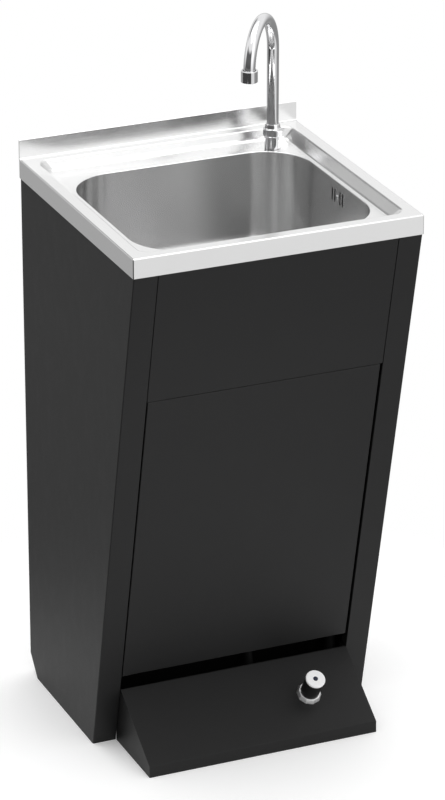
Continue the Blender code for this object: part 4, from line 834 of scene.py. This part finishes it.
# ---------------------------------------------------------------- tanks
def tank(node, name, mat):
    lo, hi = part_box(node)
    cx, cy = (lo.x + hi.x) / 2, (lo.y + hi.y) / 2
    x0, x1, y0, y1 = lo.x, hi.x, lo.y, hi.y
    zb, zt = lo.z, hi.z - 14 * MM
    NR, w = 24 * MM, 2.4 * MM
    ny = y0 + 46 * MM
    P = 12

    def rr(inset, r, z):
        return round_rect(x0 + inset, x1 - inset, y0 + inset, y1 - inset, r, z, P)

    def neck(r, z):
        return [(cx + r * cos(radians(90 * (q + j / (P + 1)))), ny + r * sin(radians(90 * (q + j / (P + 1)))), z) for q in range(4) for j in range(P + 1)]

    outer = [rr(12 * MM, 12 * MM, zb), rr(10 * MM, 14 * MM, zb)]
    for i in range(1, 6):
        a = radians(90 * i / 5)
        outer.append(rr(10 * MM * (1 - sin(a)), 22 * MM - 8 * MM * (1 - sin(a)), zb + 10 * MM * (1 - cos(a))))
    body_h = zt - 34 * MM - (zb + 11 * MM)
    for k in (0.0, 0.30, 0.31, 0.33, 0.35, 0.36, 0.64, 0.65, 0.67, 0.69, 0.70, 1.0):
        dip = {0.31: 0.8, 0.33: 1.8, 0.35: 0.8, 0.65: 0.8, 0.67: 1.8, 0.69: 0.8}.get(k, 0.0) * MM
        outer.append(rr(dip, 22 * MM - dip, zb + 11 * MM + body_h * k))
    z1 = zt - 34 * MM
    for i in range(1, 7):
        a = radians(80 * i / 6)
        outer.append(rr(15 * MM * (1 - cos(a)), 22 * MM, z1 + 24 * MM * sin(a)))
    outer += [rr(16 * MM, 20 * MM, zt - 8 * MM)]
    last = outer[-1]
    target = neck(NR + 5 * MM, zt - 3 * MM)
    for k in (0.35, 0.7):
        outer.append([tuple(a + (b - a) * k for a, b in zip(p, q)) for p, q in zip(last, target)])
    outer += [neck(NR + 5 * MM, zt - 3 * MM), neck(NR + 3 * MM, zt - 2.6 * MM), neck(NR + 1.2 * MM, zt - 1.4 * MM), neck(NR, zt + 0.6 * MM), neck(NR, zt + 13.4 * MM), neck(NR - 0.5 * MM, zt + 14 * MM)]
    inner = [neck(NR - w, zt + 14 * MM), neck(NR - w, zt - 1 * MM), neck(NR + 3 * MM, zt - 3 * MM - w), rr(17 * MM, 19 * MM, zt - 9 * MM - w),
             rr(4 * MM + w, 20 * MM, zt - 20 * MM - w), rr(w + 1.8 * MM, 20 * MM, zt - 36 * MM), rr(w + 1.8 * MM, 20 * MM, zb + 11 * MM + w),
             rr(3.5 * MM + w, 18 * MM, zb + 4 * MM + w), rr(12 * MM + w, 12 * MM, zb + w)]
    loft(name, outer + inner, mat, CAB, (node,), smooth=50)
    return Vector((cx, ny, zt))


fresh = tank("fresh_tank", "fresh_can", "natural")
waste = tank("waste_tank", "waste_can", "grey_tank")


def cap(node, name, at, bore, mat):
    n, zc, NR = 160, at.z, 24 * MM

    def knurl(r, w, z):
        return [(at.x + (r + w * max(0.0, cos(40 * 2 * pi * i / n)) ** 0.6) * cos(2 * pi * i / n), at.y + (r + w * max(0.0, cos(40 * 2 * pi * i / n)) ** 0.6) * sin(2 * pi * i / n), z) for i in range(n)]

    g = 0.7 * MM
    rings = [knurl(NR + 2.9 * MM, 0, zc + 1.5 * MM), knurl(NR + 3.1 * MM, g, zc + 2.2 * MM), knurl(NR + 3.1 * MM, g, zc + 14.6 * MM), knurl(NR + 3.0 * MM, 0, zc + 16.0 * MM),
             knurl(NR + 2.6 * MM, 0, zc + 17.2 * MM), knurl(NR + 1.6 * MM, 0, zc + 17.9 * MM), knurl(NR + 0.4 * MM, 0, zc + 18 * MM), knurl(bore + 0.5 * MM, 0, zc + 18 * MM), knurl(bore, 0, zc + 17.6 * MM),
             knurl(bore, 0, zc + 14.3 * MM), knurl(NR + 0.3 * MM, 0, zc + 14.3 * MM), knurl(NR + 0.3 * MM, 0, zc + 1.5 * MM)]
    loft(name, rings, mat, CAB, (node,), loop=True, smooth=30)


cap("fresh_tank_cap", "fresh_cap", fresh, 5.3 * MM, "blue_plastic")
cap("waste_tank_cap", "waste_cap", waste, 12.3 * MM, "black_plastic")
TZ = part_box("fresh_tank")[0].z
lathe("pickup_tube", [(5 * MM, TZ + 14 * MM), (5 * MM, fresh.z + 22 * MM), (3.9 * MM, fresh.z + 22 * MM), (4.3 * MM, fresh.z + 38 * MM), (2.8 * MM, fresh.z + 38 * MM), (2.8 * MM, TZ + 14 * MM)],
      40, "white_plastic", CAB, ("pickup_pipe",), (fresh.x, fresh.y, 0), soft=0.3 * MM)

# ---------------------------------------------------------------- drain
z0, DY = FLOOR_Z, DRAIN_Y
lathe("drain_rim", [(36 * MM, z0 + G3), (35.4 * MM, z0 + 1.3 * MM), (33 * MM, z0 + 2.0 * MM), (24 * MM, z0 + 1.4 * MM), (21.2 * MM, z0 + 0.6 * MM), (20.2 * MM, z0 - 0.8 * MM), (20 * MM, z0 - 3 * MM),
                    (20 * MM, z0 - 34 * MM), (21.8 * MM, z0 - 34 * MM), (21.8 * MM, z0 + G3)], 96, "chrome", CAB, ("drain_flange",), (0, DY, 0), soft=0.5 * MM, seg=4)
lathe("drain_washer", [(34 * MM, z0 - S - G3), (34 * MM, z0 - S - G3 - 2.5 * MM), (22.2 * MM, z0 - S - G3 - 2.5 * MM), (22.2 * MM, z0 - S - G3)], 72, "rubber", CAB, ("drain_gasket",), (0, DY, 0))
gz = z0 - S - 2 * G3 - 2.5 * MM


def ribbed(r, z, a):
    return r + (1.0 * MM if (r > 28 * MM and z < gz - 3.2 * MM and cos(12 * a) > 0.55) else 0.0)


lathe("drain_backnut", [(32 * MM, gz), (32 * MM, gz - 3 * MM), (30 * MM, gz - 3.5 * MM), (30 * MM, gz - 9 * MM), (22.2 * MM, gz - 9 * MM), (22.2 * MM, gz)], 144, "black_plastic", CAB, ("drain_locknut",), (0, DY, 0), soft=0.3 * MM, shape=ribbed, smooth=25)
sz = z0 - 4.4 * MM
plate = lathe("strainer", [(19.7 * MM, sz), (19.7 * MM, sz + 1.2 * MM), (17 * MM, sz + 1.2 * MM), (6 * MM, sz + 0.7 * MM), (0.05 * MM, sz + 0.6 * MM), (0.05 * MM, sz - 0.5 * MM), (6 * MM, sz - 0.4 * MM)], 72, "chrome", None, origin=(0, DY, 0), soft=0.25 * MM, raw_only=True)
holes = [lathe("strainer_tool", [(3.6 * MM, -4 * MM), (3.6 * MM, 4 * MM)], 32, None, None, origin=((0 if i == 6 else 11.5 * MM) * cos(pi * i / 3), DY + (0 if i == 6 else 11.5 * MM) * sin(pi * i / 3), sz), closed=False, soft=0, raw_only=True) for i in range(7)]
cut(plate, holes)
finish_mesh(plate, "chrome", CAB, ("drain_strainer",), 30)
tz = z0 - 30 * MM
prof = [(25 * MM, tz + 6 * MM), (25 * MM, tz - 14 * MM), (22 * MM, tz - 20 * MM), (13.4 * MM, tz - 34 * MM), (12.6 * MM, tz - 36 * MM)]
for k in range(3):
    prof += [(13.3 * MM, tz - (41 + 7 * k) * MM), (12.6 * MM, tz - (41.6 + 7 * k) * MM)]
prof += [(12.8 * MM, tz - 60 * MM), (11.0 * MM, tz - 60 * MM), (11.0 * MM, tz - 36 * MM), (20 * MM, tz - 18 * MM), (20 * MM, tz - 4.6 * MM), (22.2 * MM, tz - 4.6 * MM), (22.2 * MM, tz + 6 * MM)]


def nutted(r, z, a):
    return r + (0.8 * MM if (r > 24 * MM and z > tz - 12 * MM and cos(10 * a) > 0.5) else 0.0)


lathe("tailpiece", prof, 120, "black_plastic", CAB, ("drain_tailpiece",), (0, DY, 0), soft=0.3 * MM, shape=nutted, smooth=25)
OV_IN = Vector((25.3 * MM, DY, tz - 8 * MM))
lathe("overflow_elbow_tail", [(7.5 * MM, 0), (7.5 * MM, 3 * MM), (5.6 * MM, 3 * MM), (6.0 * MM, 16 * MM), (4.2 * MM, 16 * MM), (4.2 * MM, 0)], 40, "black_plastic", CAB, ("overflow_tail",), tuple(OV_IN), (1, 0, 0), soft=0.25 * MM)
skin("overflow_box", "overflow_housing", "black_plastic", 0.5 * MM, 2, 40)

# ---------------------------------------------------------------- hoses
p_in = PORT + Vector((-23.8 * MM, 0, 0))
suction = smooth_path([p_in, p_in + Vector((-14 * MM, 0, 0)), (46 * MM, -84 * MM, 34 * MM), (38 * MM, -47 * MM, 56 * MM), (36 * MM, -30 * MM, 98 * MM), (44 * MM, -30 * MM, 200 * MM), (58 * MM, -28 * MM, 330 * MM),
                       (84 * MM, 8 * MM, 430 * MM), (fresh.x, fresh.y - 4 * MM, fresh.z + 76 * MM), (fresh.x, fresh.y, fresh.z + 44 * MM), (fresh.x, fresh.y, fresh.z + 23 * MM)], 7 * MM)
tube("suction_line", suction, 6.9 * MM, 4.9 * MM, 24, "black_hose", CAB, ("suction_hose",))
p_out = PORT + Vector((23.8 * MM, 0, 0))
supply = smooth_path([p_out, p_out + Vector((12 * MM, 0, 0)), (160 * MM, -84 * MM, 34 * MM), (168 * MM, -47 * MM, 56 * MM), (174 * MM, -29 * MM, 98 * MM), (186 * MM, -28 * MM, 220 * MM), (204 * MM, 10 * MM, 380 * MM),
                      (204 * MM, 120 * MM, 470 * MM), (194 * MM, 176 * MM, 600 * MM), (166 * MM, 170 * MM, 730 * MM), (TX, TY, zd - 68 * MM), (TX, TY, zd - 33 * MM)], 8 * MM)
tube("supply_line", supply, 8.5 * MM, 6.6 * MM, 24, "black_hose", CAB, ("supply_hose",))
w_top = Vector((0, DY, tz - 38 * MM))
drain_path = smooth_path([w_top, w_top + Vector((0, 0, -28 * MM)), (-16 * MM, -2 * MM, 530 * MM), (-70 * MM, 32 * MM, 474 * MM),
                          (waste.x, waste.y, waste.z + 78 * MM), (waste.x, waste.y, waste.z + 45 * MM), (waste.x, waste.y, waste.z + 21.4 * MM)], 1.6 * MM)
total = sum((drain_path[i + 1] - drain_path[i]).length for i in range(len(drain_path) - 1))


def corrugation(d):
    ends = min(1.0, max(0.0, (min(d, total - d) - 24 * MM) / (8 * MM)))
    return ends * 0.9 * MM * (cos(2 * pi * d / (6.4 * MM)) - 0.2)


tube("waste_line", drain_path, 15.6 * MM, 13.8 * MM, 28, "grey_hose", CAB, ("waste_hose",), wave=corrugation)
lathe("waste_entry", [(12.0 * MM, waste.z - 14 * MM), (12.0 * MM, waste.z + 18.3 * MM), (15.0 * MM, waste.z + 18.3 * MM), (15.0 * MM, waste.z + 21 * MM), (12.9 * MM, waste.z + 21 * MM),
                      (13.0 * MM, waste.z + 40 * MM), (10.8 * MM, waste.z + 40 * MM), (10.8 * MM, waste.z - 14 * MM)], 48, "black_plastic", CAB, ("waste_inlet",), (waste.x, waste.y, 0), soft=0.3 * MM)
OX = BOWL_HX + S + 0.5 * MM + 9.5 * MM
o_top = Vector((OX, OV.y, OV.z - 17 * MM))
over = smooth_path([o_top, o_top + Vector((0, 0, -30 * MM)), (203 * MM, OV.y, 716 * MM), (170 * MM, OV.y, 655 * MM), (100 * MM, OV.y, 646 * MM), OV_IN + Vector((18 * MM, 0, 0)), OV_IN + Vector((4 * MM, 0, 0))], 7 * MM)
tube("overflow_line", over, 8.1 * MM, 6.2 * MM, 24, "grey_hose", CAB, ("overflow_hose",))

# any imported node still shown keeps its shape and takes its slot's finish
for n, o in NODES.items():
    if not o.hide_render:
        for i, s in enumerate(o.material_slots):
            base = (s.material.name if s.material else "").split(".")[0]
            s.material = MAT[SLOT_MAT.get(base, "black_plastic")]

# ---------------------------------------------------------------- floor, light
def floor():
    n = 96
    R = 1.5
    rings = [circle(0, 0, r, 0.0, n) for r in (0.002, 0.3, 0.6, 1.0, R)]
    pts, faces = loft_data(rings, caps=False)
    faces.append(tuple(range(n)))
    ob = raw("floor", pts, faces)
    for p in ob.data.polygons:
        p.use_smooth = False
    m = Mat("pale_floor")
    v = m.coords()
    tone = m.noise(v, 3.0, 3.0, 0.5)
    c = m.mix(tone, (0.93, 0.93, 0.93), (0.95, 0.95, 0.95))
    m.set(Base_Color=c, Roughness=0.9)
    m.b.inputs["Specular IOR Level"].default_value = 0.1
    m.b.inputs["Emission Color"].default_value = (1, 1, 1, 1)
    m.b.inputs["Emission Strength"].default_value = 0.17
    ln = m.node("ShaderNodeVectorMath", operation="LENGTH")
    m.link(v, ln.inputs[0])
    fade = m.remap(ln.outputs["Value"], 0.31, 0.70, 0.0, 1.0)
    tr = m.node("ShaderNodeBsdfTransparent")
    mx = m.node("ShaderNodeMixShader")
    m.link(fade, mx.inputs[0])
    m.link(m.b.outputs[0], mx.inputs[1])
    m.link(tr.outputs[0], mx.inputs[2])
    out = [x for x in m.t.nodes if x.type == "OUTPUT_MATERIAL"][0]
    m.link(mx.outputs[0], out.inputs["Surface"])
    ob.data.materials.append(m.m)
    # the normals face up
    bm = bmesh.new()
    bm.from_mesh(ob.data)
    if sum(f.normal.z for f in bm.faces) < 0:
        bmesh.ops.reverse_faces(bm, faces=bm.faces)
    bm.to_mesh(ob.data)
    bm.free()
    return ob


floor()

world = bpy.data.worlds.new("studio")
scene.world = world
world.use_nodes = True
wt = world.node_tree
wt.nodes.clear()


def wnode(kind, **kw):
    n = wt.nodes.new(kind)
    for k, v in kw.items():
        setattr(n, k, v)
    return n


tc = wnode("ShaderNodeTexCoord")
sep = wnode("ShaderNodeSeparateXYZ")
wt.links.new(tc.outputs["Generated"], sep.inputs[0])


def wmap(sock, a, b, lo_, hi_, smooth=True):
    n = wnode("ShaderNodeMapRange")
    n.interpolation_type = "SMOOTHSTEP" if smooth else "LINEAR"
    n.inputs["From Min"].default_value = a
    n.inputs["From Max"].default_value = b
    n.inputs["To Min"].default_value = lo_
    n.inputs["To Max"].default_value = hi_
    wt.links.new(sock, n.inputs["Value"])
    return n.outputs["Result"]


def wmath(op, a, b):
    n = wnode("ShaderNodeMath", operation=op)
    for i, v in enumerate((a, b)):
        if isinstance(v, (int, float)):
            n.inputs[i].default_value = v
        else:
            wt.links.new(v, n.inputs[i])
    return n.outputs[0]


def patch(direction, inner_deg, outer_deg, gain):
    """A soft round patch of light or shade round a direction; gain is added at its middle."""
    d = Vector(direction).normalized()
    n = wnode("ShaderNodeVectorMath", operation="DOT_PRODUCT")
    wt.links.new(tc.outputs["Generated"], n.inputs[0])
    n.inputs[1].default_value = d
    return wmap(n.outputs["Value"], cos(radians(outer_deg)), cos(radians(inner_deg)), 0.0, gain)


def sector(azimuth_xy, inner_deg, outer_deg, z_lo, z_hi, gain):
    """An upright slab of light or shade: an azimuth range over a height range, soft on all sides."""
    d = Vector((azimuth_xy[0], azimuth_xy[1], 0)).normalized()
    flat = wnode("ShaderNodeVectorMath", operation="MULTIPLY")
    wt.links.new(tc.outputs["Generated"], flat.inputs[0])
    flat.inputs[1].default_value = (1, 1, 0)
    unit = wnode("ShaderNodeVectorMath", operation="NORMALIZE")
    wt.links.new(flat.outputs[0], unit.inputs[0])
    dot = wnode("ShaderNodeVectorMath", operation="DOT_PRODUCT")
    wt.links.new(unit.outputs[0], dot.inputs[0])
    dot.inputs[1].default_value = d
    az = wmap(dot.outputs["Value"], cos(radians(outer_deg)), cos(radians(inner_deg)), 0.0, 1.0)
    up = wmap(sep.outputs["Z"], z_lo - 0.10, z_lo + 0.10, 0.0, 1.0)
    dn = wmap(sep.outputs["Z"], z_hi - 0.10, z_hi + 0.10, 1.0, 0.0)
    return wmath("MULTIPLY", wmath("MULTIPLY", az, wmath("MULTIPLY", up, dn)), gain)


# base: grey below the horizon, bright above; a dark wall front left, a tall soft source front right
level = wmap(sep.outputs["Z"], -0.30, 0.30, 0.54, 1.26)
for shade in (sector((-0.877, -0.481), 57, 68, -0.98, -0.12, -0.86), sector((-0.801, -0.598), 45, 58, -0.12, 0.58, -0.86),
              sector((-0.26, 0.966), 13, 32, 0.32, 0.66, -0.74)):
    level = wmath("MULTIPLY", level, wmath("ADD", shade, 1.0))
for p in (sector((0.42, -0.905), 16, 26, -0.75, 0.85, 0.55),
          sector((0.93, 0.10), 20, 50, -0.9, 0.3, -0.16)):
    level = wmath("ADD", level, p)
level = wmath("MAXIMUM", level, 0.04)
lp = wnode("ShaderNodeLightPath")
bg_cam = wnode("ShaderNodeBackground")
bg_cam.inputs["Color"].default_value = (1, 1, 1, 1)
bg_cam.inputs["Strength"].default_value = 1.0
bg = wnode("ShaderNodeBackground")
wt.links.new(level, bg.inputs["Strength"])
mx = wnode("ShaderNodeMixShader")
wt.links.new(lp.outputs["Is Camera Ray"], mx.inputs[0])
wt.links.new(bg.outputs[0], mx.inputs[1])
wt.links.new(bg_cam.outputs[0], mx.inputs[2])
wo = wnode("ShaderNodeOutputWorld")
wt.links.new(mx.outputs[0], wo.inputs["Surface"])


def area(name, at, to, size, power):
    d = bpy.data.lights.new(name, "AREA")
    d.shape = "RECTANGLE"
    d.size, d.size_y = size
    d.energy = power
    o = bpy.data.objects.new(name, d)
    scene.collection.objects.link(o)
    o.location = at
    o.rotation_mode = "QUATERNION"
    o.rotation_quaternion = (Vector(to) - Vector(at)).to_track_quat("-Z", "Y")
    return o


area("overhead", (0.0, 0.2, 3.6), (0, 0, 0), (2.6, 2.6), 46)
